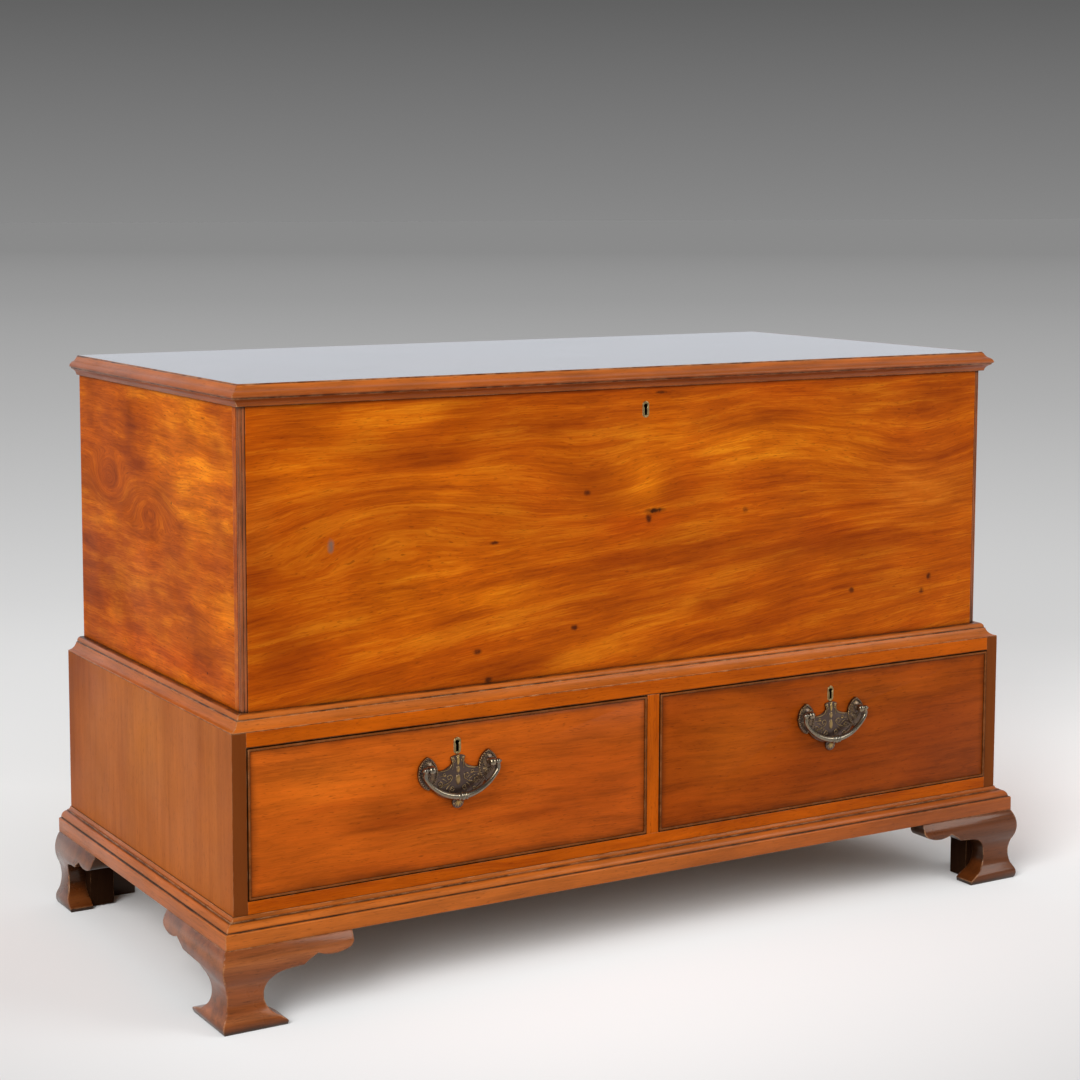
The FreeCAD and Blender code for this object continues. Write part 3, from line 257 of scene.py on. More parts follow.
def timber(name, along, pale, mid, dark, band=12, line=1.8, stretch=14, drift=9, contrast=1.0,
           mottle=0.2, polish=0.04, gleam=0.08, roughness=0.36, uneven=1.0, figure=None, grime_and_shade=1.0,
           reach=14, arris=1.0, worn=0.6, blush=0.0, seed=0.0, patches=(), marks=()):
    """Wood cut from the log: wandering bands and fine lines along one axis, cross mottle and pores.

    Band and line are widths in millimetres, drift is how far the grain wanders in millimetres, and reach
    how far the dark in the corners, partly dirt and partly painted shade, creeps out of them. A patch is
    (centre, radii, tint, strength), and its tint is what the colour is multiplied by. A mark gives (amount,
    tint) pairs, which cover the colour. Arris times the common one is how far hands have worn the edges,
    and worn is how strongly the pale edges show, partly wear and partly painted highlight.
    """
    material, tree, output = new_material(name)
    settings = bpy.context.scene.chest_timber
    place = add_node(tree, "ShaderNodeTexCoord").outputs["Object"]
    grain = add_node(tree, "ShaderNodeMapping", {
        "Vector": place, "Rotation": GRAIN_TURN[along],
        "Location": (seed, seed * 0.37, seed * 0.61)}).outputs["Vector"]

    def noise(vector, scale, detail=2.0, rough=0.5, shift=(0, 0, 0)):
        spread = add_node(tree, "ShaderNodeMapping", {"Vector": vector, "Scale": scale, "Location": shift})
        return add_node(tree, "ShaderNodeTexNoise", {"Vector": spread.outputs["Vector"], "Scale": 1.0,
                                                     "Detail": detail, "Roughness": rough})

    def clouds(vector, scale, detail, rough, low, high, thin=0.0, thick=1.0, shift=(0, 0, 0)):
        return add_node(tree, "ShaderNodeMapRange", {
            "Value": noise(vector, scale, detail, rough, shift).outputs["Fac"], "From Min": low,
            "From Max": high, "To Min": thin, "To Max": thick}).outputs["Result"]

    # the grain wanders over a hand's width, less over a finger's width, and a little over a straw's
    bent = grain
    for scale, detail, rough, wander in (((2.6, 7.5, 7.5), 2.0, 0.45, drift * 4),
                                         ((9, 26, 26), 2.0, 0.5, drift * 0.9),
                                         ((40, 110, 110), 1.0, 0.5, 2.2)):
        centred = add_node(tree, "ShaderNodeVectorMath", {
            0: noise(grain, scale, detail, rough).outputs["Color"], 1: MEAN}, operation="SUBTRACT")
        bent = add_node(tree, "ShaderNodeVectorMath", {
            0: centred.outputs["Vector"], 1: (0, wander * MM, wander * MM), 2: bent},
            operation="MULTIPLY_ADD").outputs["Vector"]
    if figure:
        bent = add_node(tree, "ShaderNodeVectorMath", {0: bent, 1: figure(tree, place)},
                        operation="ADD").outputs["Vector"]

    def streaks(width, lengthen, detail, rough):
        across = 1 / (width * MM)
        return noise(bent, (across / lengthen, across, across), detail, rough).outputs["Fac"]

    lines = streaks(line, stretch * 3.5, 3.0, 0.6)
    total = 0.0
    for field, share in ((streaks(band * 4.5, stretch * 0.25, 2.0, 0.5), 0.34),
                         (streaks(band, stretch, 3.0, 0.55), 0.38), (lines, 0.28)):
        total = add_node(tree, "ShaderNodeMath", {0: field, 1: share, 2: total},
                         operation="MULTIPLY_ADD").outputs["Value"]
    half = 0.17 / contrast
    ramp = add_node(tree, "ShaderNodeValToRGB", {"Fac": add_node(tree, "ShaderNodeMapRange", {
        "Value": total, "From Min": 0.5 - half, "From Max": 0.5 + half}).outputs["Result"]})
    stops = ramp.color_ramp.elements
    stops[0].position, stops[0].color = 0.0, opaque(dark)
    stops[1].position, stops[1].color = 1.0, opaque(pale)
    stops.new(0.52).color = opaque(mid)

    # the surface turns light and dark as the fibres dip: soft clouds a few centimetres long
    flame = clouds(bent, (9, 15, 15), 3.0, 0.55, 0.3, 0.7, 1 - mottle * 0.6, 1 + mottle * 0.4)
    wood = add_node(tree, "ShaderNodeVectorMath", {0: ramp.outputs["Color"], "Scale": flame},
                    operation="SCALE").outputs["Vector"]

    coats = []
    if blush:
        # red clouds between the golden ones, and brown flecks along the grain
        coats += [(clouds(bent, (4.5, 11, 11), 3.0, 0.55, 0.46, 0.64, thick=blush, shift=(9, 4, 2)),
                   (0.96, 0.76, 0.62), "MULTIPLY"),
                  (clouds(bent, (38, 420, 420), 2.0, 0.6, 0.58, 0.74, thick=blush, shift=(1, 5, 3)),
                   (0.62, 0.48, 0.4), "MULTIPLY")]
    if patches:
        streaky = feathered(tree, place, along)
        for centre, radii, tint, strength in patches:
            there = add_node(tree, "ShaderNodeMath", {0: swelling(tree, streaky, centre, radii),
                                                      1: strength}, operation="MULTIPLY")
            coats.append((there.outputs["Value"], tint, "MULTIPLY"))

    # pores are 0.2 mm wide and 10 mm long; drawn 1 mm wide, the finest that shows
    pore = clouds(bent, (85, 800, 800), 1.0, 0.5, 0.37, 0.25, thick=PORE_DEPTH)

    # freckles where the wood was knocked, about one on each hand's breadth
    knocks = add_node(tree, "ShaderNodeTexVoronoi", {"Vector": place, "Scale": 15.0, "Randomness": 1.0})
    some = add_node(tree, "ShaderNodeMath", {0: add_node(tree, "ShaderNodeSeparateColor", {
        "Color": knocks.outputs["Color"]}).outputs["Red"], 1: 0.72}, operation="GREATER_THAN")
    close = add_node(tree, "ShaderNodeMapRange", {
        "Value": knocks.outputs["Distance"], "From Min": 0.035, "From Max": 0.02, "To Max": 0.75})
    knock = add_node(tree, "ShaderNodeMath", {0: close.outputs["Result"], 1: some.outputs["Value"]},
                     operation="MULTIPLY").outputs["Value"]
    coats += [(pore, shade(dark, 0.5), "MIX"), (knock, settings.grime_and_shade, "MIX")]
    for mark in marks:
        coats += [(amount, tint, "MIX") for amount, tint in mark(tree, place)]

    # the pale edges are partly worn polish and partly painted highlight, and the dark in the corners, found
    # by how little of the room a point sees, is partly old wax and partly painted shade
    normal, edge, corner = edge_masks(tree, settings.arris * arris, reach * MM)
    patchy_rub_and_highlight = clouds(place, (60, 60, 60), 4.0, 0.65, 0.42, 0.66, thick=worn)
    worn_edge_highlight = add_node(tree, "ShaderNodeMath", {0: edge, 1: patchy_rub_and_highlight}, operation="MULTIPLY").outputs["Value"]
    corner_dirt_and_shade = add_node(tree, "ShaderNodeMath", {0: corner, 1: grime_and_shade}, operation="MULTIPLY",
                    use_clamp=True).outputs["Value"]
    coats += [(worn_edge_highlight, settings.worn_edge_highlight, "MIX"), (corner_dirt_and_shade, settings.grime_and_shade, "MIX")]
    for amount, tint, way in coats:
        wood = add_node(tree, "ShaderNodeMix", {AMOUNT: amount, BELOW: wood, ABOVE: opaque(tint)},
                        data_type="RGBA", blend_type=way).outputs[MIXED]

    # hand planing leaves shallow hollows 40 mm apart, and the grain stands up a little
    relief = lines
    for field, share in ((noise(place, (25, 25, 25)).outputs["Fac"], 6.0 * uneven), (pore, -1.2)):
        relief = add_node(tree, "ShaderNodeMath", {0: field, 1: share, 2: relief},
                          operation="MULTIPLY_ADD").outputs["Value"]
    bump = add_node(tree, "ShaderNodeBump", {"Height": relief, "Distance": 0.05 * MM, "Strength": 0.7,
                                             "Normal": normal})
    gloss = clouds(place, (8, 8, 8), 5.0, 0.6, 0.3, 0.7, roughness - 0.06 * uneven, roughness + 0.12 * uneven)
    skin = add_node(tree, "ShaderNodeBsdfPrincipled", {
        "Base Color": wood, "Roughness": gloss, "Normal": bump.outputs["Normal"],
        "IOR": 1.5, "Specular IOR Level": gleam, "Specular Tint": opaque((1.0, 0.8, 0.62)),
        "Coat Weight": polish, "Coat Roughness": 0.13,
        "Coat IOR": 1.48, "Coat Normal": bump.outputs["Normal"]})
    tree.links.new(skin.outputs["BSDF"], output.inputs["Surface"])
    return material


# ---------------------------------------------------------------- figure, patches and marks

# the coffer's knocks: a grey bruise, a scorched notch, and dents with dirt in them
BRUISE, SCORCH, DENT = "#6E6258", "#2E1206", "#4A1C08"
# tints of patches: golden, dark, reddened, and a pale bluish painted sheen that stands for the grey
# reflection on the polish
GLOW, SHADE, EMBER, PAINTED_SHEEN = (1.3, 1.55, 1.6), (0.64, 0.52, 0.5), (1.0, 0.72, 0.6), (1.1, 1.4, 5.0)
# a patch fades out this many times its half width away, and goes this deep in metres
FADE, DEEP = 1.4, 0.3
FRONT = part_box("coffer_front")[0].y
LEFT_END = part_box("coffer_left_end")[0].x
# the figure's swirls are centred a little off those faces
FRONT_Y, LEFT_X = -0.27, -0.615


def front_patches(*table):
    """Patches on the chest's front from (x, z, half width, half height, tint, strength)."""
    return [((x, FRONT, z), (wide * FADE, DEEP, tall * FADE), tint, strength)
            for x, z, wide, tall, tint, strength in table]


def end_patches(*table):
    """Patches on the coffer's left end from (y, z, half width, half height, tint, strength)."""
    return [((LEFT_END, y, z), (DEEP, wide * FADE, tall * FADE), tint, strength)
            for y, z, wide, tall, tint, strength in table]


def pushed_grain(tree, place, climb, swirls):
    """How far the grain is pushed up: a climb and swirls, each (centre, radii, lift) in metres."""
    for centre, radii, lift in swirls:
        climb = add_node(tree, "ShaderNodeMath", {0: swelling(tree, place, centre, radii), 1: lift, 2: climb},
                         operation="MULTIPLY_ADD").outputs["Value"]
    return add_node(tree, "ShaderNodeCombineXYZ", {"Z": climb}).outputs["Vector"]


def coffer_figure(tree, place):
    """Where the coffer's front board was cut near a crotch: an oval at each side, a ring in the middle."""
    parts = add_node(tree, "ShaderNodeSeparateXYZ", {"Vector": place})
    # below the middle the grain climbs to the right, one part in nine
    low = add_node(tree, "ShaderNodeMapRange", {"Value": parts.outputs["Z"], "From Min": 0.72,
                                                "From Max": 0.45, "To Min": -0.03, "To Max": -0.13})
    climb = add_node(tree, "ShaderNodeMath", {0: parts.outputs["X"], 1: low.outputs["Result"]},
                     operation="MULTIPLY").outputs["Value"]
    return pushed_grain(tree, place, climb, [
        ((x, FRONT_Y, z), (wide, 0.5, tall), lift) for x, z, wide, tall, lift in (
            (0.50, 0.655, 0.24, 0.110, 0.038), (-0.08, 0.661, 0.16, 0.095, 0.020),
            (-0.395, 0.634, 0.24, 0.085, -0.028), (0.20, 0.730, 0.16, 0.080, -0.015))])


def knot_figure(tree, place):
    """A knot near the back of the coffer's left end, and a swirl in the middle, push the grain aside."""
    return pushed_grain(tree, place, 0.0, (((LEFT_X, 0.197, 0.649), (DEEP, 0.09, 0.050), 0.060),
                                           ((LEFT_X, 0.040, 0.632), (DEEP, 0.11, 0.050), -0.045)))


def stain(centre, radii, tint, strength):
    """A mark on the polish: an oval patch of one tint, with a broken edge."""
    def mark(tree, place):
        rough = add_node(tree, "ShaderNodeTexNoise", {"Vector": place, "Scale": 0.9 / min(radii),
                                                      "Detail": 3.0})
        ragged = add_node(tree, "ShaderNodeMath", {0: swelling(tree, place, centre, radii),
                                                   1: rough.outputs["Fac"]}, operation="MULTIPLY")
        amount = add_node(tree, "ShaderNodeMapRange", {"Value": ragged.outputs["Value"], "From Min": 0.1,
                                                       "From Max": 0.45, "To Max": strength})
        return [(amount.outputs["Result"], linear(tint))]
    return mark


def dark_stile(tree, place):
    """The front edge of a side board is end to end with old, dark polish."""
    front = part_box("lower_left_side")[0].y
    parts = add_node(tree, "ShaderNodeSeparateXYZ", {"Vector": place})
    near = add_node(tree, "ShaderNodeMapRange", {"Value": parts.outputs["Y"], "From Min": front + 0.5 * MM,
                                                 "From Max": front + 0.2 * MM, "To Max": 0.85})
    return [(near.outputs["Result"], bpy.context.scene.chest_timber.stile)]


def unpolished_and_shaded(inwards):
    """Sawn faces that look towards the middle of the chest were never polished and went dark; they lie in the
    shade under the chest, so their dark is partly their own and partly painted shade.
    """
    def mark(tree, place):
        face = add_node(tree, "ShaderNodeNewGeometry")
        towards = add_node(tree, "ShaderNodeVectorMath", {0: face.outputs["True Normal"], 1: inwards},
                           operation="DOT_PRODUCT")
        amount = add_node(tree, "ShaderNodeMapRange", {"Value": towards.outputs["Value"], "From Min": 0.4,
                                                       "From Max": 0.8, "To Max": 0.85})
        return [(amount.outputs["Result"], bpy.context.scene.chest_timber.block)]
    return mark


def quirk_dirt_and_shade(shares, half=1.2):
    """Dirt and painted shade in the quirks and joints of the mouldings: thin broken dark lines at shares of
    each moulding's height.
    """
    def mark(tree, place):
        parts = add_node(tree, "ShaderNodeSeparateXYZ", {"Vector": place})
        rough = add_node(tree, "ShaderNodeTexNoise", {"Vector": place, "Scale": 22.0, "Detail": 4.0})
        broken = add_node(tree, "ShaderNodeMapRange", {"Value": rough.outputs["Fac"], "From Min": 0.3,
                                                       "From Max": 0.6, "To Min": 0.25, "To Max": 0.9})
        coats = []
        for node, rows in shares.items():
            low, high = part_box(node)
            for share in rows:
                off = off_plane(tree, parts.outputs["Z"], low.z + (high.z - low.z) * share)
                line = add_node(tree, "ShaderNodeMapRange", {"Value": off, "From Min": half * MM,
                                                             "From Max": half * 0.4 * MM})
                amount = add_node(tree, "ShaderNodeMath", {0: line.outputs["Result"],
                                                           1: broken.outputs["Result"]},
                                  operation="MULTIPLY")
                coats.append((amount.outputs["Value"], bpy.context.scene.chest_timber.grime_and_shade))
        return coats
    return mark


def dirty_border(node, reach=16 * MM, strength=0.45):
    """Where a cloth never reaches: old wax and dirt fade out from the border of a drawer's front."""
    low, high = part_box(node)

    def mark(tree, place):
        parts = add_node(tree, "ShaderNodeSeparateXYZ", {"Vector": place})
        inside = [add_node(tree, "ShaderNodeMath", {
            0: (most - least) / 2, 1: off_plane(tree, parts.outputs[axis], (least + most) / 2)},
            operation="SUBTRACT").outputs["Value"]
            for axis, least, most in (("X", low.x, high.x), ("Z", low.z, high.z))]
        near = add_node(tree, "ShaderNodeMath", {0: inside[0], 1: inside[1]}, operation="MINIMUM")
        rough = add_node(tree, "ShaderNodeTexNoise", {"Vector": place, "Scale": 28.0, "Detail": 3.0})
        ragged = add_node(tree, "ShaderNodeMath", {0: rough.outputs["Fac"], 1: -reach,
                                                   2: near.outputs["Value"]}, operation="MULTIPLY_ADD")
        amount = add_node(tree, "ShaderNodeMapRange", {
            "Value": ragged.outputs["Value"], "From Min": reach * 0.5, "From Max": -reach * 0.5,
            "To Max": strength}, interpolation_type="SMOOTHSTEP")
        return [(amount.outputs["Result"], bpy.context.scene.chest_timber.grime_and_shade)]
    return mark


# knocks on the coffer's front: x and z in metres, half width and half height in millimetres
DINGS = [stain((x, FRONT, z), (wide * MM, 0.02, tall * MM), tint, strength)
         for x, z, wide, tall, tint, strength in (
             (-0.488, 0.607, 9, 16, BRUISE, 0.8), (0.016, 0.618, 30, 7, SCORCH, 0.95),
             (0.006, 0.608, 9, 12, SCORCH, 0.8), (-0.096, 0.650, 10, 8, DENT, 0.9),
             (-0.244, 0.592, 12, 5, DENT, 0.9), (0.174, 0.609, 9, 7, DENT, 0.8),
             (-0.116, 0.464, 10, 8, DENT, 0.9), (-0.270, 0.445, 12, 7, DENT, 0.9),
             (-0.253, 0.405, 12, 9, SCORCH, 0.8), (0.507, 0.461, 9, 8, DENT, 0.9),
             (0.521, 0.482, 8, 10, SCORCH, 0.8), (0.371, 0.473, 9, 8, DENT, 0.8),
             (0.026, 0.785, 18, 4, SCORCH, 0.7))]
COFFER_PATCHES = front_patches(
    (-0.53, 0.700, 0.080, 0.030, GLOW, 0.9), (-0.41, 0.765, 0.100, 0.022, GLOW, 0.8),
    (-0.36, 0.716, 0.110, 0.020, SHADE, 0.7), (-0.14, 0.745, 0.110, 0.018, SHADE, 0.7),
    (-0.31, 0.680, 0.100, 0.028, GLOW, 1.0), (0.36, 0.700, 0.090, 0.060, GLOW, 0.5),
    (-0.02, 0.660, 0.060, 0.040, GLOW, 0.8), (-0.50, 0.590, 0.080, 0.060, SHADE, 0.5),
    (-0.19, 0.422, 0.120, 0.016, SHADE, 0.6), (-0.53, 0.490, 0.060, 0.040, SHADE, 0.3),
    # the two pale bluish patches on the next line are painted sheen: the grey reflection on the polish near
    # the front's ends
    (0.51, 0.625, 0.110, 0.060, PAINTED_SHEEN, 0.7), (-0.58, 0.640, 0.030, 0.060, PAINTED_SHEEN, 0.4),
    (-0.24, 0.515, 0.110, 0.025, GLOW, 0.6), (0.46, 0.480, 0.120, 0.025, SHADE, 0.35),
    (0.10, 0.485, 0.120, 0.020, SHADE, 0.3), (0.08, 0.724, 0.130, 0.060, GLOW, 0.8),
    (0.21, 0.700, 0.100, 0.040, GLOW, 0.8), (0.00, 0.657, 0.030, 0.055, GLOW, 0.6),
    (-0.09, 0.655, 0.060, 0.038, SHADE, 0.5), (0.10, 0.738, 0.050, 0.020, SHADE, 0.6),
    (0.16, 0.552, 0.400, 0.030, SHADE, 0.6), (0.44, 0.535, 0.180, 0.030, SHADE, 0.4),
    (-0.29, 0.547, 0.200, 0.050, GLOW, 0.6), (-0.41, 0.485, 0.080, 0.060, GLOW, 0.3),
    (-0.55, 0.475, 0.055, 0.060, SHADE, 0.7), (-0.59, 0.570, 0.035, 0.070, SHADE, 0.6),
    (0.30, 0.455, 0.280, 0.040, SHADE, 0.25), (0.00, 0.437, 0.200, 0.035, GLOW, 0.25),
    # the second patch on the next line, a red band right under the lid moulding, is painted shadow and
    # reflection of the lid
    (0.54, 0.755, 0.100, 0.035, SHADE, 0.55), (0.00, 0.802, 0.700, 0.016, EMBER, 0.9),
    (-0.02, 0.600, 0.120, 0.020, EMBER, 0.6))
END_PATCHES = end_patches(
    (0.197, 0.649, 0.060, 0.030, SHADE, 0.6), (-0.100, 0.705, 0.150, 0.075, GLOW, 1.0),
    (-0.140, 0.640, 0.090, 0.050, GLOW, 0.6), (0.180, 0.560, 0.120, 0.060, SHADE, 0.5),
    (-0.080, 0.785, 0.130, 0.025, GLOW, 0.6), (0.095, 0.738, 0.070, 0.022, SHADE, 0.7),
    (-0.193, 0.728, 0.045, 0.028, SHADE, 0.7), (0.220, 0.480, 0.130, 0.045, SHADE, 0.8),
    (0.270, 0.545, 0.090, 0.030, SHADE, 0.6), (-0.150, 0.500, 0.080, 0.055, GLOW, 0.3),
    (0.000, 0.430, 0.250, 0.030, EMBER, 0.6))
DRAWER_PATCHES = {
    "left": front_patches(
        (-0.52, 0.300, 0.09, 0.040, GLOW, 0.4), (-0.40, 0.235, 0.09, 0.012, SHADE, 0.7),
        (-0.50, 0.268, 0.07, 0.008, SHADE, 0.5), (-0.12, 0.270, 0.13, 0.090, SHADE, 0.45),
        (-0.22, 0.215, 0.07, 0.010, SHADE, 0.6), (-0.32, 0.200, 0.20, 0.020, GLOW, 0.25)),
    "right": front_patches(
        (0.53, 0.250, 0.10, 0.090, SHADE, 0.45), (0.14, 0.280, 0.08, 0.070, GLOW, 0.7),
        (0.30, 0.215, 0.16, 0.030, SHADE, 0.4), (0.42, 0.322, 0.14, 0.030, GLOW, 0.6))}
# on the lower case's left side, from (y, z, half width, half height, tint, strength)
SIDE_PATCHES = [((-0.64, y, z), (DEEP, wide, tall), tint, strength) for y, z, wide, tall, tint, strength in (
    (0.26, 0.37, 0.16, 0.09, SHADE, 0.8), (0.33, 0.24, 0.14, 0.28, SHADE, 0.8),
    (-0.29, 0.24, 0.05, 0.30, SHADE, 0.4), (0.08, 0.10, 0.35, 0.05, SHADE, 0.6),
    (0.00, 0.31, 0.13, 0.12, GLOW, 0.35))]
# painted highlights, with some worn polish, on the bulges of the left feet, which face the key lamp: three
# heights
SCUFFS_AND_HIGHLIGHTS = [((0, 0, z), (9, 9, tall), (1.5, 1.8, 2.4), strength)
          for z, tall, strength in ((0.091, 0.014, 0.8), (0.016, 0.009, 0.7), (0.060, 0.008, 0.4))]
# painted shade: the right half of the base moulding is darker and redder, being farther from the key lamp
FAR_END_SHADE = ((0.55, -0.31, 0.12), (0.75, 9, 0.08), SHADE, 0.7)
# each moulding's quirks, as shares of its height
QUIRKS = {"waist_moulding_front": (0.0, 0.66, 1.0), "base_moulding_front": (0.59, 0.86),
          "lid_moulding_front": (0.0, 0.39, 0.97)}
# rows of feet: how much of the common colour each has, and the way to the middle of the chest; the right and
# rear feet's smaller share is painted shade, as they lie farther from the key lamp or in the chest's shadow
FEET_SHADE_AND_WAY_IN = {"front_left": (1.0, (1, 1, -1)), "front_right": (0.55, (-1, 1, -1)),
        "rear_left": (0.6, (1, -1, -1)), "rear_right": (0.6, (-1, -1, -1))}


def tones(mid, pale, dark):
    """Pale, middle and dark tone of one timber."""
    return shade(mid, pale), mid, shade(mid, dark)


class CHEST_OT_timbers(bpy.types.Operator):
    """Give every board, moulding and foot its own timber."""
    bl_idname = "chest.timbers"
    bl_label = "Finish the timbers"

    def execute(self, context):
        t = context.scene.chest_timber
        # French polished mahogany: deep orange with red bands, mirror-like where the wax is whole
        put_material(timber("Mahogany_coffer_front_french_polished", "X", t.coffer_pale, t.coffer_mid,
                            t.coffer_dark, drift=7, contrast=1.2, blush=0.35, figure=coffer_figure,
                            patches=COFFER_PATCHES, marks=DINGS),
                     "coffer_front")
        put_material(timber("Mahogany_coffer_end_french_polished", "Y", shade(t.coffer_pale, 1.2),
                            shade(t.coffer_mid, 1.1), t.coffer_dark, band=14, stretch=8, drift=12,
                            contrast=1.1, polish=0.0, gleam=0.03, figure=knot_figure, mottle=0.35,
                            patches=END_PATCHES, seed=2.3),
                     "coffer_left_end", "coffer_right_end")
        put_material(timber("Mahogany_lid_french_polished", "X", shade(t.lid_mid, 1.5), t.lid_mid, t.lid_dark,
                            band=30, polish=1.0, gleam=0.5, roughness=0.2, uneven=0.15, seed=4.1, grime_and_shade=0.4),
                     "lid_board")
        put_material(timber("Mahogany_case_side_faded", "Z", shade(t.case_mid, 1.25), t.case_mid, t.case_dark,
                            band=14, stretch=20, drift=4, contrast=0.5, polish=0.0, gleam=0.04, seed=1.7,
                            patches=SIDE_PATCHES, marks=(dark_stile,)),
                     "lower_left_side", "lower_right_side")
        # the dark line along the top rail's lower edge is the painted shadow of the gap above the drawers
        put_material(timber("Mahogany_rail_french_polished", "X", shade(t.coffer_mid, 1.25), t.coffer_mid,
                            t.coffer_dark, band=14, seed=5.2,
                            marks=(quirk_dirt_and_shade({"top_rail": (0.0,)}, 1.8),)),
                     "top_rail", "bottom_rail")
        put_material(timber("Mahogany_muntin_french_polished", "Z", shade(t.coffer_mid, 1.2), t.coffer_mid,
                            t.coffer_dark, band=14, seed=5.9),
                     "centre_muntin")
        for side, tone, seed in (("left", t.drawer_left, 6.4), ("right", t.drawer_right, 7.7)):
            put_material(timber(f"Mahogany_{side}_drawer_french_polished", "X", *tones(tone, 1.3, 0.5),
                                band=9, contrast=0.85, blush=0.25, seed=seed, patches=DRAWER_PATCHES[side],
                                marks=(dirty_border(f"{side}_drawer_front"),)),
                         f"{side}_drawer_front_worn")
        # painted shade: the lid's moulding is darker below its top bead, where it faces down
        low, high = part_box("lid_moulding_front")
        tall = high.z - low.z
        shade_under_bead = ((0, low.y, low.z + tall * 0.3), (9, 9, tall * 0.75), SHADE, 1.0)
        for tag, along, ways in (("front", "X", ("front",)), ("side", "Y", ("left", "right"))):
            put_material(timber(f"Mahogany_{tag}_moulding_waxed", along, *tones(t.moulding_mid, 1.35, 0.5),
                                band=7, line=2.0, drift=3, contrast=0.7, seed=3.3, polish=0.15, gleam=0.25,
                                reach=6, arris=1.3, worn=1.0, patches=(shade_under_bead, FAR_END_SHADE),
                                marks=(quirk_dirt_and_shade(QUIRKS),)),
                         *(f"{part}_moulding_{way}_worn" for part in ("waist", "base", "lid")
                           for way in ways))
        put_material(timber("Mahogany_corner_bead_waxed", "Z", shade(t.stile, 3.0), shade(t.stile, 2.2),
                            shade(t.stile, 0.6), band=9, line=2.4, seed=3.3, polish=0.3, gleam=0.4, reach=5,
                            worn=0.9),
                     "corner_beads")
        put_material(timber("Mahogany_cockbead_waxed", "X", *tones(t.cockbead_mid, 1.3, 0.5), band=9,
                            line=2.4, seed=3.9, polish=0.0, gleam=0.1, reach=5, worn=0.9),
                     "left_drawer_cockbead_worn", "right_drawer_cockbead_worn")
        for foot, (tone, inwards) in FEET_SHADE_AND_WAY_IN.items():
            put_material(timber(f"Mahogany_{foot}_foot_waxed", "X", *tones(shade(t.foot_mid, tone), 1.5, 0.3),
                                band=14, contrast=0.9, seed=8.8, polish=0.4, gleam=0.4, roughness=0.3,
                                reach=30, arris=2.4, worn=1.0, patches=SCUFFS_AND_HIGHLIGHTS if "left" in foot else (),
                                marks=(unpolished_and_shaded(inwards),)),
                         f"{foot}_foot_worn")
        put_material(timber("Oak_drawer_lining_planed", "Y", *tones(t.oak_mid, 1.3, 0.6), polish=0.0,
                            roughness=0.6, seed=1.1),
                     *(f"{side}_drawer_{part}" for side in DRAWERS for part in ("sides", "back", "bottom")),
                     "drawer_runners", "centre_guide", "drawer_kickers", "drawer_stops")
        put_material(timber("Pine_carcase_planed", "X", *tones(t.pine_mid, 1.35, 0.55), band=18, polish=0.0,
                            roughness=0.62, seed=2.9),
                     "coffer_back", "coffer_floor", "lower_back", "base_board")
        # the blocks sit in the shade inside the feet: their near black is partly age and partly painted shade
        put_material(timber("Pine_blocks_aged_and_shade_darkened", "Z", *tones(t.block, 1.4, 0.5), band=18, polish=0.0,
                            gleam=0.05, roughness=0.7, seed=3.6),
                     "foot_blocks")
        return {"FINISHED"}


# ---------------------------------------------------------------- metals

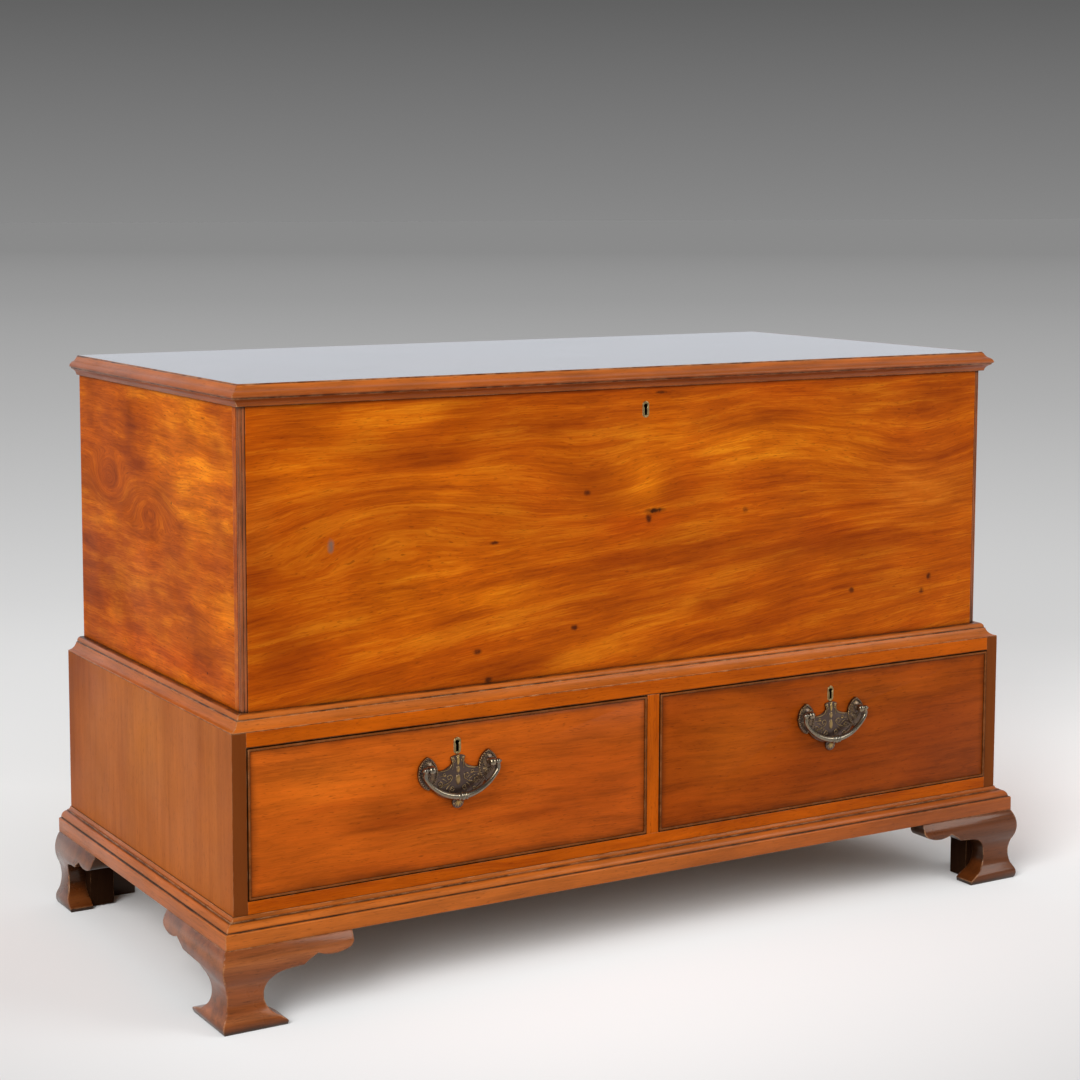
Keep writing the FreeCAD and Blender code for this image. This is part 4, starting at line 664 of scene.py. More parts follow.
def cast_metal(name, bare, film, roughness, patchiness=0.5, lacquer=0.0, rubs=(), relief=()):
    """Old metal: a dark film in the hollows, bare metal on what hands rub, and old lacquer over both.

    A rub is (centre, radii) of a place that fingers and cloths keep bright. Relief is (hollows, crests,
    reach): two values of Y, and how far from the middle of the plate they hold.
    """
    material, tree, output = new_material(name)
    place = add_node(tree, "ShaderNodeTexCoord").outputs["Object"]
    normal, edge, corner = edge_masks(tree, 0.35 * MM)
    cloud = add_node(tree, "ShaderNodeTexNoise", {"Vector": place, "Scale": 160.0, "Detail": 4.0,
                                                  "Roughness": 0.6})
    cover = add_node(tree, "ShaderNodeMapRange", {
        "Value": cloud.outputs["Fac"], "From Min": 0.35, "From Max": 0.65,
        "To Min": 1 - patchiness}).outputs["Result"]
    changes = [("SUBTRACT", edge), ("ADD", corner)]
    changes += [("SUBTRACT", add_node(tree, "ShaderNodeMath", {
        0: swelling(tree, place, centre, radii), 1: 0.7}, operation="MULTIPLY").outputs["Value"])
        for centre, radii in rubs]
    for operation, other in changes:
        cover = add_node(tree, "ShaderNodeMath", {0: cover, 1: other}, operation=operation,
                         use_clamp=True).outputs["Value"]
    if relief:
        hollows, crests, reach = relief
        parts = add_node(tree, "ShaderNodeSeparateXYZ", {"Vector": place})
        high = add_node(tree, "ShaderNodeMapRange", {"Value": parts.outputs["Y"], "From Min": hollows,
                                                     "From Max": crests, "To Min": 0.25, "To Max": -0.6})
        # both plates are as far from the chest's middle, so one test serves the two
        aside = add_node(tree, "ShaderNodeMath", {0: parts.outputs["X"]}, operation="ABSOLUTE")
        off = off_plane(tree, aside.outputs["Value"], DRAWERS["right"])
        within = add_node(tree, "ShaderNodeMapRange", {"Value": off, "From Min": reach,
                                                       "From Max": reach * 0.85})
        cover = add_node(tree, "ShaderNodeMath", {
            0: high.outputs["Result"], 1: within.outputs["Result"], 2: cover},
            operation="MULTIPLY_ADD", use_clamp=True).outputs["Value"]
    # black wax and painted shade sit in the hollows between scrolls and pearls
    wax_and_shade = add_node(tree, "ShaderNodeMath", {0: corner, 1: 0.5}, operation="MULTIPLY").outputs["Value"]
    tint = opaque(bare)
    for amount, over in ((cover, film), (wax_and_shade, bpy.context.scene.chest_timber.block)):
        tint = add_node(tree, "ShaderNodeMix", {AMOUNT: amount, BELOW: tint, ABOVE: opaque(over)},
                        data_type="RGBA").outputs[MIXED]
    pits = add_node(tree, "ShaderNodeTexNoise", {"Vector": place, "Scale": 700.0, "Detail": 3.0})
    bump = add_node(tree, "ShaderNodeBump", {"Height": pits.outputs["Fac"], "Distance": 0.15 * MM,
                                             "Strength": 0.5, "Normal": normal})
    rough = add_node(tree, "ShaderNodeMapRange", {"Value": cover, "To Min": roughness,
                                                  "To Max": roughness + 0.12})
    skin = add_node(tree, "ShaderNodeBsdfPrincipled", {
        "Base Color": tint, "Metallic": 1.0, "Roughness": rough.outputs["Result"],
        "Normal": bump.outputs["Normal"], "Coat Weight": lacquer, "Coat Roughness": 0.22,
        "Coat Normal": bump.outputs["Normal"]})
    tree.links.new(skin.outputs["BSDF"], output.inputs["Surface"])
    return material


class CHEST_OT_metals(bpy.types.Operator):
    """Give the brasses, locks and hinges their metal."""
    bl_idname = "chest.metals"
    bl_label = "Finish the metals"

    def execute(self, context):
        b = context.scene.chest_brass
        # fingers keep the plates' lug and shell bright: how far up each is, and its half width and height
        lugs = [(HandlePlace(side).at(0, up, 2), Vector((wide, 9, tall)) * MM)
                for side in DRAWERS for up, wide, tall in ((5, 3, 11), (-52, 5, 7))]
        face = HandlePlace().y - context.scene.chest_handle.plate_thick
        put_material(cast_metal("Brass_plates_cast_and_lacquered", shade(b.brass, 0.9), shade(b.lacquer, 0.8),
                                0.28, 0.3, 0.6, lugs, (face - 0.1 * MM, face - 1.3 * MM, 33 * MM)),
                     *(f"{side}_handle_plate_cast" for side in DRAWERS))
        put_material(cast_metal("Brass_bails_cast_and_patinated", shade(b.brass, 0.8), b.patina, 0.16, 0.3,
                                0.8),
                     *(f"{side}_{part}" for side in DRAWERS
                       for part in ("handle_posts_turned", "handle_bail_cast")))
        put_material(cast_metal("Brass_thread_drawn_and_worn", b.thread, shade(b.thread, 0.6), 0.25, 0.9),
                     *(f"{key}_{part}" for key in KEYHOLES for part in ("escutcheon", "thread_drawn")))
        put_material(cast_metal("Iron_lock_forged", shade(b.iron, 1.8), b.iron, 0.42),
                     "coffer_lock", "coffer_lock_bolt", "lid_strike", "case_hinge_halves", "lid_hinge_halves",
                     *(f"{side}_{part}" for side in DRAWERS for part in ("drawer_lock", "lock_bolt")))
        return {"FINISHED"}


# ---------------------------------------------------------------- modelling

# faces that meet at less than this many degrees look like one curved face
SMOOTH_ANGLE = 38


def clear_selection():
    """Leave edit mode and select nothing."""
    if bpy.context.object and bpy.context.object.mode != "OBJECT":
        bpy.ops.object.mode_set(mode="OBJECT")
    bpy.ops.object.select_all(action="DESELECT")


def only(thing):
    """Select one object and make it active."""
    clear_selection()
    thing.select_set(True)
    bpy.context.view_layer.objects.active = thing
    return thing


def settle(thing, name):
    """Put an object's place into its mesh, turn its faces outwards and smooth it up to an angle."""
    only(thing)
    thing.name = thing.data.name = name
    bpy.ops.object.transform_apply(location=True, rotation=True, scale=True)
    bpy.ops.object.mode_set(mode="EDIT")
    bpy.ops.mesh.select_all(action="SELECT")
    bpy.ops.mesh.normals_make_consistent(inside=False)
    bpy.ops.object.mode_set(mode="OBJECT")
    bpy.ops.object.shade_smooth_by_angle(angle=math.radians(SMOOTH_ANGLE))
    return thing


def join(name, parts):
    """Join the parts of one casting into one object."""
    clear_selection()
    for part in parts:
        part.select_set(True)
    bpy.context.view_layer.objects.active = parts[0]
    bpy.ops.object.join()
    return settle(bpy.context.object, name)


def set_about(pattern, matrices):
    """Copies of one small pattern, each with its own mesh, at the given places; the pattern goes."""
    copies = []
    for matrix in matrices:
        copy = pattern.copy()
        copy.data = pattern.data.copy()
        copy.matrix_world = matrix
        bpy.context.scene.collection.objects.link(copy)
        copies.append(copy)
    bpy.data.objects.remove(pattern)
    return copies


def turned(place, direction, stations, sides=24):
    """A piece off the lathe: a disc drawn out along a direction through its (along, radius) stations."""
    direction = Vector(direction).normalized()
    place = Vector(place)
    along, radius = stations[0]
    clear_selection()
    bpy.ops.mesh.primitive_circle_add(vertices=sides, radius=radius, fill_type="NGON",
                                      location=place + direction * along,
                                      rotation=direction.to_track_quat("Z", "Y").to_euler())
    bar = bpy.context.object
    bpy.ops.object.mode_set(mode="EDIT")
    bpy.ops.mesh.select_all(action="SELECT")
    for next_along, next_radius in stations[1:]:
        bpy.ops.mesh.extrude_region_move(
            TRANSFORM_OT_translate={"value": direction * (next_along - along)})
        bpy.ops.transform.resize(value=(next_radius / radius,) * 3,
                                 center_override=place + direction * next_along)
        along, radius = next_along, next_radius
    bpy.ops.object.mode_set(mode="OBJECT")
    return bar


def ball_stations(radius, end, steps=8):
    """Stations of a ball for the lathe, from one small flat to the other; end is the flat's share."""
    start = math.asin(end)
    return [(-radius * math.cos(angle), radius * math.sin(angle))
            for angle in (start + (math.pi - 2 * start) * step / steps for step in range(steps + 1))]


def rod(name, points, radii, thickness, cyclic=False):
    """A smooth rod through points, with a radius factor at each, made a mesh."""
    clear_selection()
    bpy.ops.curve.primitive_nurbs_path_add()
    path = bpy.context.object
    line = path.data
    line.splines.remove(line.splines[0])
    spline = line.splines.new("NURBS")
    spline.points.add(len(points) - 1)
    for point, place, radius in zip(spline.points, points, radii):
        point.co, point.radius = (*place, 1), radius
    spline.order_u, spline.use_endpoint_u, spline.use_cyclic_u = 4, True, cyclic
    line.resolution_u = 4
    line.bevel_depth, line.bevel_resolution, line.use_fill_caps = thickness, 3, True
    bpy.ops.object.convert(target="MESH")
    bar = bpy.context.object
    bar.name = name
    return bar


# ---------------------------------------------------------------- handles

DRAWERS = {"left": -0.315, "right": 0.315}
KEYHOLES = {"coffer": "case", "left_drawer": "left_drawer", "right_drawer": "right_drawer"}

# all these are in millimetres, across and up from the middle between a handle's posts
# leaf curls: middle, radius, where the curl starts and how far it turns in degrees, and its tail
SCROLLS = (((13.5, -17), 5.2, 250, -460, (22, -28)), ((28, -24), 4.2, 230, -400, (37, -31)),
           ((9.5, -33), 3.8, 60, 420, (15, -41)), ((21, -11.5), 3.0, 200, 380, (30, -14)),
           ((6.2, 4.5), 2.9, -60, 400, (8.5, -6)), ((24, -35.5), 2.6, 30, 360, (31, -37)))
# the plate's upper edge rolls over between crest and rose, its lower edge along the belly
RIMS = (((9.6, 1.5), (10.5, -2.5), (15.5, -6.2), (24, -7.4), (33, -6.6)),
        ((8, -44.5), (16, -41.5), (25, -37.5), (33, -32.5), (39, -26)))
RIM_WIDTHS = (0.6, 0.8, 0.8, 0.7, 0.4)
# leaf veins that fan towards the rose, from root to tip, and how far they rise in the middle
VEINS = (((17, -22), (26, -17)), ((16.5, -24), (27, -29.5)), ((12, -26), (19, -33)),
         ((30, -18), (36, -14.5)), ((31.5, -28), (36.5, -24)))
VEIN_RISE, VEIN_SHARES, VEIN_WIDTHS = 1.3, (0, 0.3, 0.6, 1), (0.3, 0.85, 0.8, 0.15)
# crest: a lug between two curls, and drops below it: place with its height over the face, half widths
LOBES = (((0, 5.0, 2.3), (2.3, 1.7, 6.2)), ((0, 11.0, 1.9), (2.6, 1.6, 2.0)),
         ((-7.8, 8.6, 1.9), (2.4, 1.6, 2.0)), ((7.8, 8.6, 1.9), (2.4, 1.6, 2.0)),
         ((0, -7.0, 2.2), (3.0, 1.4, 5.0)), ((0, -21.0, 2.2), (3.6, 1.6, 7.5)))
# flutes of a rose: how many, half widths, how far out from the post, below it and above, and its drop
FLUTES, FLUTE_SIZE = 18, (0.95, 0.9, 3.6)
FLUTE_OUT, FLUTE_DOWN, FLUTE_UP, FLUTE_DROP = 7.6, 11.5, 8.5, 3.0
# the shell's lobes: half widths, the place that they spread from, how far, and degrees between two
SHELL_LOBE, SHELL_PLACE, SHELL_OUT, SHELL_DOWN, SHELL_FAN = (1.5, 1.3, 5.0), (-47.5, 1.9), 5.5, 6.0, 24
# stations for the lathe: along the axis, and radius
ROSE_BOSS = ((-0.4, 8.4), (0.3, 8.2), (0.9, 7.2), (1.3, 5.4), (2.2, 4.4))
POST_CHEEK = ((2.0, 5.7), (3.4, 5.0), (4.2, 4.1))
POST_NECK = ((-10.0, 3.4), (-8.6, 3.6), (-7.2, 4.6), (-6.2, 4.8), (-5.5, 4.2), (-4.8, 4.4), (-4.0, 5.6),
             (-3.0, 6.0), (-2.9, 2.5))
POST_SHANK = POST_NECK[-1][1] * MM
COLLAR_HALF = ((1.0, 6.3), (2.2, 5.8), (2.9, 4.6), (3.3, 4.5), (4.0, 5.2), (4.9, 5.7), (6.0, 5.7),
               (6.9, 5.2), (7.4, 4.5))
# radius of a bail's pin, thickness of a post's nut and the bevel filed on it
PIN, NUT_THICK, NUT_BEVEL = 2.15 * MM, 5 * MM, 0.8 * MM
# sides of the pieces off the lathe that show most
FINE = 28


def metres(pairs, way=1):
    """Pairs of millimetres in metres; way -1 gives the other end of a piece that is alike at both."""
    return [(along * way * MM, radius * MM) for along, radius in pairs[::way]]


def lobe(place, size, turn=Matrix()):
    """Where a unit ball goes to become a lobe with the given half widths in millimetres."""
    return Matrix.Translation(place) @ turn @ Matrix.Diagonal((*(part * MM for part in size), 1))


class HandlePlace:
    """Where a drawer's handle sits: the middle between its posts, on the drawer's face."""

    def __init__(self, side="left"):
        s = bpy.context.scene.chest_handle
        low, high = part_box(f"{side}_handle_plate")
        self.x, self.y, self.z = (low.x + high.x) / 2, high.y, high.z - s.rose_top
        self.axis_y = self.y - s.post_out
        self.half = s.post_spacing / 2

    def at(self, along, height, out=0.0):
        """A point in millimetres along and above the middle, and out from the face."""
        return Vector((self.x + along * MM, self.y - out * MM, self.z + height * MM))


def for_both_drawers(pattern, name, body, node):
    """Hand one finished piece to the left drawer and a copy of its mesh to the right one."""
    for side in DRAWERS:
        piece = pattern.copy()
        piece.data = pattern.data.copy()
        bpy.context.scene.collection.objects.link(piece)
        piece.data.transform(Matrix.Translation((DRAWERS[side] - DRAWERS["left"], 0, 0)))
        piece.name = piece.data.name = f"{side}_{name}"
        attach(piece, f"{side}_{body}")
        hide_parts(f"{side}_{node}")
    bpy.data.objects.remove(pattern)


class CHEST_OT_handle_plates(bpy.types.Operator):
    """Cast plates: a crescent with a crest and a shell, and two pearled roses."""
    bl_idname = "chest.handle_plates"
    bl_label = "Cast the handle plates"

    def execute(self, context):
        s = context.scene.chest_handle
        place = HandlePlace()
        parts = [softened_copy("left_handle_plate", 0.7 * MM, 3)]

        # pearls along the two arcs of each rose
        half_tall = (s.rose_top + s.rose_bottom) / 2
        arc = (half_tall ** 2 + (s.rose_width / 2) ** 2) / s.rose_width
        swing = math.asin(half_tall / arc)
        inner = arc - s.pearl * 0.55
        steps = int(2 * swing * inner / (s.pearl * 1.06))
        pearls, flutes = [], []
        for way in (-1, 1):
            post = Vector((place.x + place.half * way, place.y - s.rose_thick, place.z))
            middle = Vector((post.x, post.y, place.z + (s.rose_top - s.rose_bottom) / 2))
            for side in (-1, 1):
                for step in range(steps + 1):
                    angle = swing * 0.985 * (2 * step / steps - 1)
                    pearls.append(Matrix.Translation(middle + Vector((
                        side * (inner * math.cos(angle) - arc + s.rose_width / 2), 0,
                        inner * math.sin(angle)))))
            # flutes run from the post out to the pearls, longer below it
            for flute in range(FLUTES):
                angle = math.tau * flute / FLUTES
                up = math.sin(angle)
                spread = Vector((math.cos(angle) * FLUTE_OUT, 0, up * (FLUTE_DOWN if up < 0 else FLUTE_UP)))
                turn = Matrix.Rotation(math.atan2(spread.x, spread.z), 4, "Y")
                flutes.append(lobe(post - Vector((0, 0, FLUTE_DROP * MM)) + spread * MM, FLUTE_SIZE, turn))
            parts.append(turned(post, (0, -1, 0), metres(ROSE_BOSS), FINE))
        clear_selection()
        bpy.ops.mesh.primitive_uv_sphere_add(segments=10, ring_count=6, radius=s.pearl / 2)
        parts += set_about(bpy.context.object, pearls)
        bpy.ops.mesh.primitive_uv_sphere_add(segments=8, ring_count=8, radius=1)
        parts += set_about(bpy.context.object, flutes)

        # scrolls, rims and veins, and their mirror images: all open outwards from the middle
        strokes = []
        for centre, radius, start, sweep, tail in SCROLLS:
            points, widths = [tail], [0.3]
            for step in range(15):
                share = step / 14
                angle = math.radians(start + sweep * share)
                reach = radius * (1 - 0.72 * share)
                points.append((centre[0] + reach * math.cos(angle), centre[1] + reach * math.sin(angle)))
                widths.append(0.75 - 0.3 * share)
            strokes.append((points, widths))
        strokes += [(line, RIM_WIDTHS) for line in RIMS]
        for root, tip in VEINS:
            strokes.append(([(root[0] + (tip[0] - root[0]) * share,
                              root[1] + (tip[1] - root[1]) * share + VEIN_RISE * math.sin(math.pi * share))
                             for share in VEIN_SHARES], VEIN_WIDTHS))
        depth = place.y - s.plate_thick - s.scroll * 0.15
        for way in (-1, 1):
            for points, widths in strokes:
                parts.append(rod("scroll", [(place.x + way * across * MM, depth, place.z + up * MM)
                                            for across, up in points], widths, s.scroll / 2))

        # the crest, and a shell of five lobes for the pendant
        clear_selection()
        bpy.ops.mesh.primitive_uv_sphere_add(segments=12, ring_count=10, radius=1)
        lobes = [lobe(place.at(*middle), size) for middle, size in LOBES]
        for step in range(-2, 3):
            lean = math.radians(step * SHELL_FAN)
            up, out = SHELL_PLACE
            lobes.append(lobe(place.at(-math.sin(lean) * SHELL_OUT, up - math.cos(lean) * SHELL_DOWN, out),
                              SHELL_LOBE, Matrix.Rotation(lean, 4, "Y")))
        parts += set_about(bpy.context.object, lobes)
        for_both_drawers(join("handle_plate_casting", parts), "handle_plate_cast", "drawer", "handle_plate")
        return {"FINISHED"}


class CHEST_OT_handle_posts(bpy.types.Operator):
    """Turned posts with a round head, a neck, a shank through the drawer front and a nut."""
    bl_idname = "chest.handle_posts"
    bl_label = "Turn the handle posts"

    def execute(self, context):
        s = context.scene.chest_handle
        place = HandlePlace()
        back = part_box("left_handle_posts")[1].y
        parts = []
        for way in (-1, 1):
            x = place.x + place.half * way
            # the head is a ball, cut flat where the bail's balls run beside it
            parts.append(turned((x, place.axis_y, place.z), (1, 0, 0),
                                [*metres(POST_CHEEK, -1), (0, s.post_head), *metres(POST_CHEEK)], FINE))
            parts.append(turned((x, place.y, place.z), (0, 1, 0),
                                [*metres(POST_NECK), (back - place.y, POST_SHANK)]))
            clear_selection()
            bpy.ops.mesh.primitive_cube_add(size=s.nut, location=(x, back - NUT_THICK / 2, place.z))
            nut = bpy.context.object
            nut.scale.y = NUT_THICK / s.nut
            parts.append(nut)
            bpy.ops.object.transform_apply(location=False, rotation=False, scale=True)
            shape = nut.modifiers.new("Filed corners", "BEVEL")
            shape.width, shape.segments = NUT_BEVEL, 2
            bpy.ops.object.modifier_apply(modifier=shape.name)
        for_both_drawers(join("handle_post_pair", parts), "handle_posts_turned", "drawer", "handle_posts")
        return {"FINISHED"}


class CHEST_OT_bails(bpy.types.Operator):
    """Bails that swell towards a collar of three rings, with a ball and a pin at each end."""
    bl_idname = "chest.bails"
    bl_label = "Cast the bails"

    def execute(self, context):
        s = context.scene.chest_handle
        place = HandlePlace()
        ball_x = place.half + 4.6 * MM + s.bail_ball
        depth = s.bail_drop - s.bail_ball * 2
        arc = (s.bail_reach ** 2 + depth ** 2) / (2 * depth)
        swing = math.asin(s.bail_reach / arc)
        bow = []
        steps = 18
        for step in range(steps + 1):
            along = step / steps * 2 - 1
            angle = swing * along
            bow.append(((place.x + arc * math.sin(angle), place.axis_y,
                         place.z + arc - s.bail_drop - arc * math.cos(angle)),
                        s.bail_end + (s.bail_middle - s.bail_end) * math.cos(along * math.pi / 2) ** 2))
        ends = [((place.x + ball_x * way, place.axis_y, place.z - s.bail_ball * 0.3), s.bail_end * 0.9)
                for way in (-1, 1)]
        points, radii = zip(ends[0], *bow, ends[1])
        parts = [rod("bow", points, [radius / s.bail_middle for radius in radii], s.bail_middle)]
        for way in (-1, 1):
            parts.append(turned((place.x + ball_x * way, place.axis_y, place.z), (-way, 0, 0),
                                [(-s.bail_ball * 1.28, 0.9 * MM), (-s.bail_ball * 1.2, 1.4 * MM),
                                 (-s.bail_ball * 0.98, 1.7 * MM), *ball_stations(s.bail_ball, 0.42),
                                 (s.bail_ball + 0.1 * MM, PIN), (s.bail_ball + 8.6 * MM, PIN)]))
        # collar: three rings, the middle one largest
        parts.append(turned((place.x, place.axis_y, place.z - s.bail_drop), (1, 0, 0),
                            metres(COLLAR_HALF, -1) + metres(COLLAR_HALF), FINE))
        for_both_drawers(join("bail_casting", parts), "handle_bail_cast", "bail", "handle_bail")
        return {"FINISHED"}


class CHEST_OT_threads(bpy.types.Operator):
    """Bend a brass thread round each keyhole: a round head on a narrow foot."""
    bl_idname = "chest.threads"
    bl_label = "Bend the keyhole threads"

    def execute(self, context):
        s = context.scene.chest_handle
        for key, body in KEYHOLES.items():
            low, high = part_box(f"{key}_escutcheon")
            half = (high.x - low.x) / 2 - s.thread / 2
            head = high.z - s.thread / 2 - half
            foot = low.z + s.thread / 2
            outline = [(math.cos(math.radians(turn)) * half, head + math.sin(math.radians(turn)) * half)
                       for turn in range(-50, 231, 28)]
            # the foot is narrowest near its end, where it flares a little
            side = [(half * 0.62, head - half * 1.15), (half * 0.60, foot + half * 0.7), (half * 0.68, foot)]
            outline += [(-x, z) for x, z in side] + side[::-1]
            middle = (low.x + high.x) / 2
            thread = rod("thread", [(middle + x, low.y, z) for x, z in outline], [1.0] * len(outline),
                         s.thread / 2, cyclic=True)
            settle(thread, f"{key}_thread_drawn")
            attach(thread, body)
        return {"FINISHED"}


# ---------------------------------------------------------------- softened timber

# edges sharper than this many degrees are worn
SHARP_ANGLE = 32


def softened_copy(node, width, segments):
    """A CAD node's shape as clean faces, with its sharp edges worn round."""
    source = frame["nodes"][node]
    copy = source.copy()
    copy.data = source.data.copy()
    copy.parent = None
    for key in list(copy.keys()):
        del copy[key]
    copy.matrix_world = Matrix.Identity(4)
    bpy.context.scene.collection.objects.link(copy)
    only(copy)
    bpy.ops.object.mode_set(mode="EDIT")
    bpy.ops.mesh.select_all(action="SELECT")
    bpy.ops.mesh.remove_doubles(threshold=0.005 * MM)
    bpy.ops.mesh.dissolve_limited(angle_limit=math.radians(1.0))
    if node in ("front_left_foot", "front_right_foot"):
        # a front foot's two brackets are mitred and wear as one; a rear foot's only touch
        bpy.ops.mesh.select_mode(type="FACE")
        bpy.ops.mesh.select_all(action="DESELECT")
        bpy.ops.mesh.select_interior_faces()
        bpy.ops.mesh.delete(type="FACE")
        bpy.ops.mesh.select_all(action="SELECT")
    bpy.ops.object.mode_set(mode="OBJECT")
    worn = copy.modifiers.new("Worn edges", "BEVEL")
    worn.width, worn.segments, worn.limit_method = width, segments, "ANGLE"
    worn.angle_limit = math.radians(SHARP_ANGLE)
    worn.use_clamp_overlap = True
    bpy.ops.object.modifier_apply(modifier=worn.name)
    return settle(copy, f"{node}_softened")


BODY_OF = {node: body for body, nodes in frame["record"]["behaviour"]["bodies"].items() for node in nodes}
# radius of the worn edges in millimetres, for the pieces of each kind
WORN_EDGES = {
    0.7: ("lid_moulding_front", "lid_moulding_left", "lid_moulding_right"),
    0.5: ("waist_moulding_front", "waist_moulding_left", "waist_moulding_right"),
    0.8: ("base_moulding_front", "base_moulding_left", "base_moulding_right"),
    1.6: ("front_left_foot", "front_right_foot", "rear_left_foot", "rear_right_foot"),
    0.6: ("left_drawer_front", "right_drawer_front"),
    1.3: ("left_drawer_cockbead", "right_drawer_cockbead"),
}


class CHEST_OT_worn_timber(bpy.types.Operator):
    """Wear the sharp edges of the mouldings, feet, drawer fronts and cockbeads round."""
    bl_idname = "chest.worn_timber"
    bl_label = "Wear the edges"

    def execute(self, context):
        for width, nodes in WORN_EDGES.items():
            for node in nodes:
                piece = softened_copy(node, width * MM, 3)
                piece.name = piece.data.name = f"{node}_worn"
                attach(piece, BODY_OF[node])
                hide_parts(node)
        return {"FINISHED"}


# ---------------------------------------------------------------- studio

CAMERA_PLACE = Vector((-1.7403, -2.8893, 1.0583))
CAMERA_PITCH, CAMERA_YAW, CAMERA_ROLL = 0.1034, 0.5395, 0.0027
CAMERA_SHIFT_DOWN = 0.1019
# the paper darkens in one direction, from a fixed place in front of the chest: metres to its nearest and
# farthest grey, and the greys at shares of the way between
PAPER_EDGE = (CAMERA_PLACE.x, CAMERA_PLACE.y, 0)
PAPER_WAY = (math.sin(CAMERA_YAW), math.cos(CAMERA_YAW), 0)
PAPER_NEAR, PAPER_FAR = 2.4, 42.4
PAPER_GREYS = ((0.0, 0.50), (0.012, 0.67), (0.023, 0.85), (0.039, 0.95), (0.057, 0.87), (0.087, 0.80),
               (0.135, 0.755), (0.23, 0.69), (0.52, 0.56), (1.0, 0.455))
# pools of light on the paper, one in front of the chest and one at its right: middle, radius, strength
POOLS = (((-0.35, -0.62, 0), 1.2, 0.38), ((1.40, 0.35, 0), 1.2, 0.22))
# how white the paper is for the light that it throws on the wood, where 1 is as its greys say
PAPER_AS_LAMP = 0.9
FLOOR_SIZE = 160
LAMP_SIZE, LAMP_TARGET = 2.6, Vector((0, 0, 0.4))


def soft_box(name, place, power):
    """A square lamp that faces the chest and isn't seen itself."""
    lamp = bpy.data.lights.new(name, "AREA")
    lamp.size, lamp.energy = LAMP_SIZE, power
    holder = bpy.data.objects.new(name, lamp)
    bpy.context.scene.collection.objects.link(holder)
    holder.location = place
    holder.rotation_euler = (LAMP_TARGET - Vector(place)).to_track_quat("-Z", "Y").to_euler()
    holder.visible_camera = False


def lay_floor():
    """A wide sheet of matt paper, pale round the chest and greyer far off."""
    bpy.ops.object.select_all(action="DESELECT")
    bpy.ops.mesh.primitive_plane_add(size=FLOOR_SIZE, location=(0, 0, 0))
    floor = bpy.context.active_object
    floor.name = "studio_floor"
    material, tree, output = new_material("Paper_floor_matt")
    place = add_node(tree, "ShaderNodeTexCoord").outputs["Object"]
    from_edge = add_node(tree, "ShaderNodeVectorMath", {0: place, 1: PAPER_EDGE}, operation="SUBTRACT")
    away = add_node(tree, "ShaderNodeVectorMath", {0: from_edge.outputs["Vector"], 1: PAPER_WAY},
                    operation="DOT_PRODUCT")
    far = add_node(tree, "ShaderNodeMapRange", {"Value": away.outputs["Value"], "From Min": PAPER_NEAR,
                                                "From Max": PAPER_FAR})
    ramp = add_node(tree, "ShaderNodeValToRGB", {"Fac": far.outputs["Result"]})
    stops = ramp.color_ramp.elements
    for stop, (position, grey) in zip(stops, (PAPER_GREYS[0], PAPER_GREYS[-1])):
        stop.position, stop.color = position, opaque((grey,) * 3)
    for position, grey in PAPER_GREYS[1:-1]:
        stops.new(position).color = opaque((grey,) * 3)
    pool = 1.0
    for middle, radius, strength in POOLS:
        more = swelling(tree, place, middle, (radius, radius, 1))
        pool = add_node(tree, "ShaderNodeMath", {0: more, 1: strength, 2: pool},
                        operation="MULTIPLY_ADD").outputs["Value"]
    ray = add_node(tree, "ShaderNodeLightPath")
    looked_at = add_node(tree, "ShaderNodeMath", {0: ray.outputs["Is Camera Ray"],
                                                  1: ray.outputs["Is Glossy Ray"]}, operation="MAXIMUM")
    whiter = add_node(tree, "ShaderNodeMix", {0: looked_at.outputs["Value"], 2: PAPER_AS_LAMP, 3: pool})
    paper = add_node(tree, "ShaderNodeVectorMath", {0: ramp.outputs["Color"], "Scale": whiter.outputs[0]},
                     operation="SCALE")
    skin = add_node(tree, "ShaderNodeBsdfDiffuse", {"Color": paper.outputs["Vector"], "Roughness": 0.6})
    tree.links.new(skin.outputs["BSDF"], output.inputs["Surface"])
    floor.data.materials.append(material)


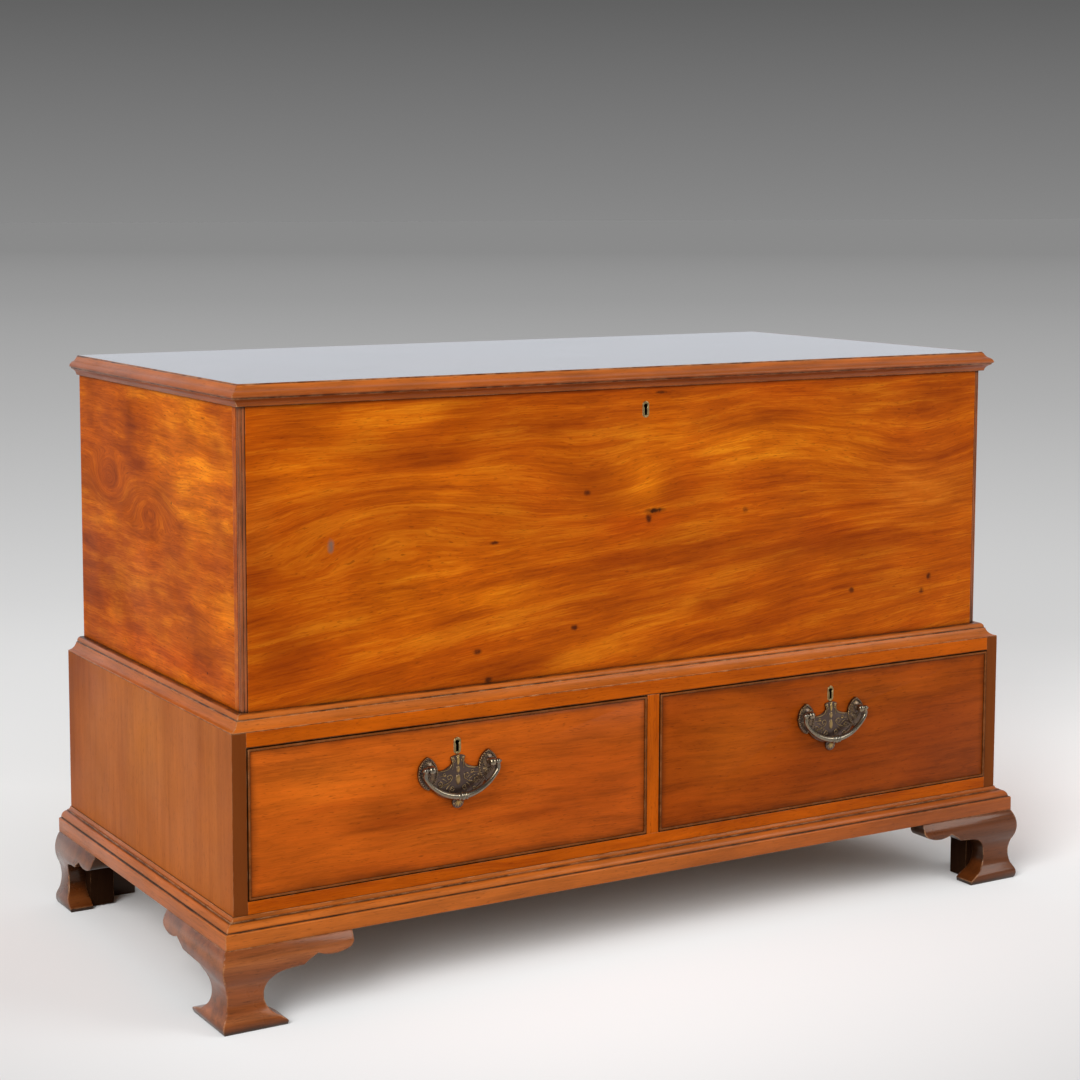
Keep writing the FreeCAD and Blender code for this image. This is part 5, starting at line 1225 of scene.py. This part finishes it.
def light_room(settings):
    """A grey backdrop for the camera, a pale wall for the polish, and even light from above."""
    world = bpy.data.worlds.new("Studio_room")
    bpy.context.scene.world = world
    world.use_nodes = True
    tree = world.node_tree
    tree.nodes.clear()
    output = add_node(tree, "ShaderNodeOutputWorld")
    height = add_node(tree, "ShaderNodeSeparateXYZ", {
        "Vector": add_node(tree, "ShaderNodeTexCoord").outputs["Generated"]})
    grey = add_node(tree, "ShaderNodeValToRGB", {"Fac": add_node(tree, "ShaderNodeMapRange", {
        "Value": height.outputs["Z"], "From Min": -0.013, "From Max": 0.09}).outputs["Result"]})
    grey.color_ramp.elements[0].color = opaque(settings.backdrop_low)
    grey.color_ramp.elements[1].color = opaque(settings.backdrop_top)
    # in the polish, the pale wall stands behind the chest and the room in front of it is dark
    wall = add_node(tree, "ShaderNodeMapRange", {"Value": height.outputs["Y"], "From Min": -0.1,
                                                 "From Max": 0.5, "To Min": 0.12, "To Max": 0.8})
    # the room's even light comes from above: little of it creeps in under the chest
    above = add_node(tree, "ShaderNodeMapRange", {
        "Value": height.outputs["Z"], "From Min": 0.0, "From Max": 0.4, "To Min": settings.sky * 0.3,
        "To Max": settings.sky})
    seen, glow, light = (add_node(tree, "ShaderNodeBackground", {"Color": tint, "Strength": strength})
                         for tint, strength in ((grey.outputs["Color"], 1.0),
                                                (opaque(linear("#E9EEF6")), wall.outputs["Result"]),
                                                (opaque((1, 1, 1)), above.outputs["Result"])))
    ray = add_node(tree, "ShaderNodeLightPath")
    room = light.outputs["Background"]
    for share, other in (("Is Glossy Ray", glow), ("Is Camera Ray", seen)):
        room = add_node(tree, "ShaderNodeMixShader", {
            0: ray.outputs[share], 1: room, 2: other.outputs["Background"]}).outputs["Shader"]
    tree.links.new(room, output.inputs["Surface"])


class CHEST_OT_studio(bpy.types.Operator):
    """Lay the floor, hang the lamps and set up the camera."""
    bl_idname = "chest.studio"
    bl_label = "Build the studio"

    def execute(self, context):
        s = context.scene.chest_studio
        lay_floor()
        light_room(s)
        soft_box("Key_soft_box", (-3.6, -2.6, 2.7), s.key_power)
        soft_box("Fill_soft_box", (3.2, -3.4, 2.6), s.fill_power)

        lens = bpy.data.cameras.new("Camera")
        lens.sensor_width, lens.lens, lens.shift_y = 36, s.lens, -CAMERA_SHIFT_DOWN
        camera = bpy.data.objects.new("Camera", lens)
        context.scene.collection.objects.link(camera)
        camera.location = CAMERA_PLACE
        camera.rotation_euler = (math.pi / 2 - CAMERA_PITCH, -CAMERA_ROLL, -CAMERA_YAW)
        context.scene.camera = camera
        context.scene.view_settings.view_transform = "Standard"
        return {"FINISHED"}


# ---------------------------------------------------------------- panel and main

class CHEST_PT_sidebar(bpy.types.Panel):
    """Settings and steps of the mule chest."""
    bl_idname = "CHEST_PT_sidebar"
    bl_label = "Mule chest"
    bl_space_type = "VIEW_3D"
    bl_region_type = "UI"
    bl_category = "Mule chest"

    def draw(self, context):
        for group in GROUPS:
            box = self.layout.box()
            settings = getattr(context.scene, group)
            for key in settings.__annotations__:
                box.prop(settings, key)
        for step in STEPS:
            self.layout.operator(step.bl_idname)


STEPS = (CHEST_OT_worn_timber, CHEST_OT_handle_plates, CHEST_OT_handle_posts, CHEST_OT_bails,
         CHEST_OT_threads, CHEST_OT_timbers, CHEST_OT_metals, CHEST_OT_studio)
GROUPS = {"chest_timber": ChestTimber, "chest_brass": ChestBrass, "chest_handle": ChestHandle,
          "chest_studio": ChestStudio}


def register():
    """Register the settings, the steps and the panel."""
    for name, group in GROUPS.items():
        bpy.utils.register_class(group)
        setattr(bpy.types.Scene, name, PointerProperty(type=group))
    for step in (*STEPS, CHEST_PT_sidebar):
        bpy.utils.register_class(step)


def unregister():
    """Take the panel, the steps and the settings away again."""
    for step in reversed((*STEPS, CHEST_PT_sidebar)):
        bpy.utils.unregister_class(step)
    for name, group in GROUPS.items():
        delattr(bpy.types.Scene, name)
        bpy.utils.unregister_class(group)


def main():
    """Build the whole chest."""
    register()
    bpy.ops.chest.worn_timber()
    bpy.ops.chest.handle_plates()
    bpy.ops.chest.handle_posts()
    bpy.ops.chest.bails()
    bpy.ops.chest.threads()
    bpy.ops.chest.timbers()
    bpy.ops.chest.metals()
    bpy.ops.chest.studio()


if __name__ == "__main__":
    main()
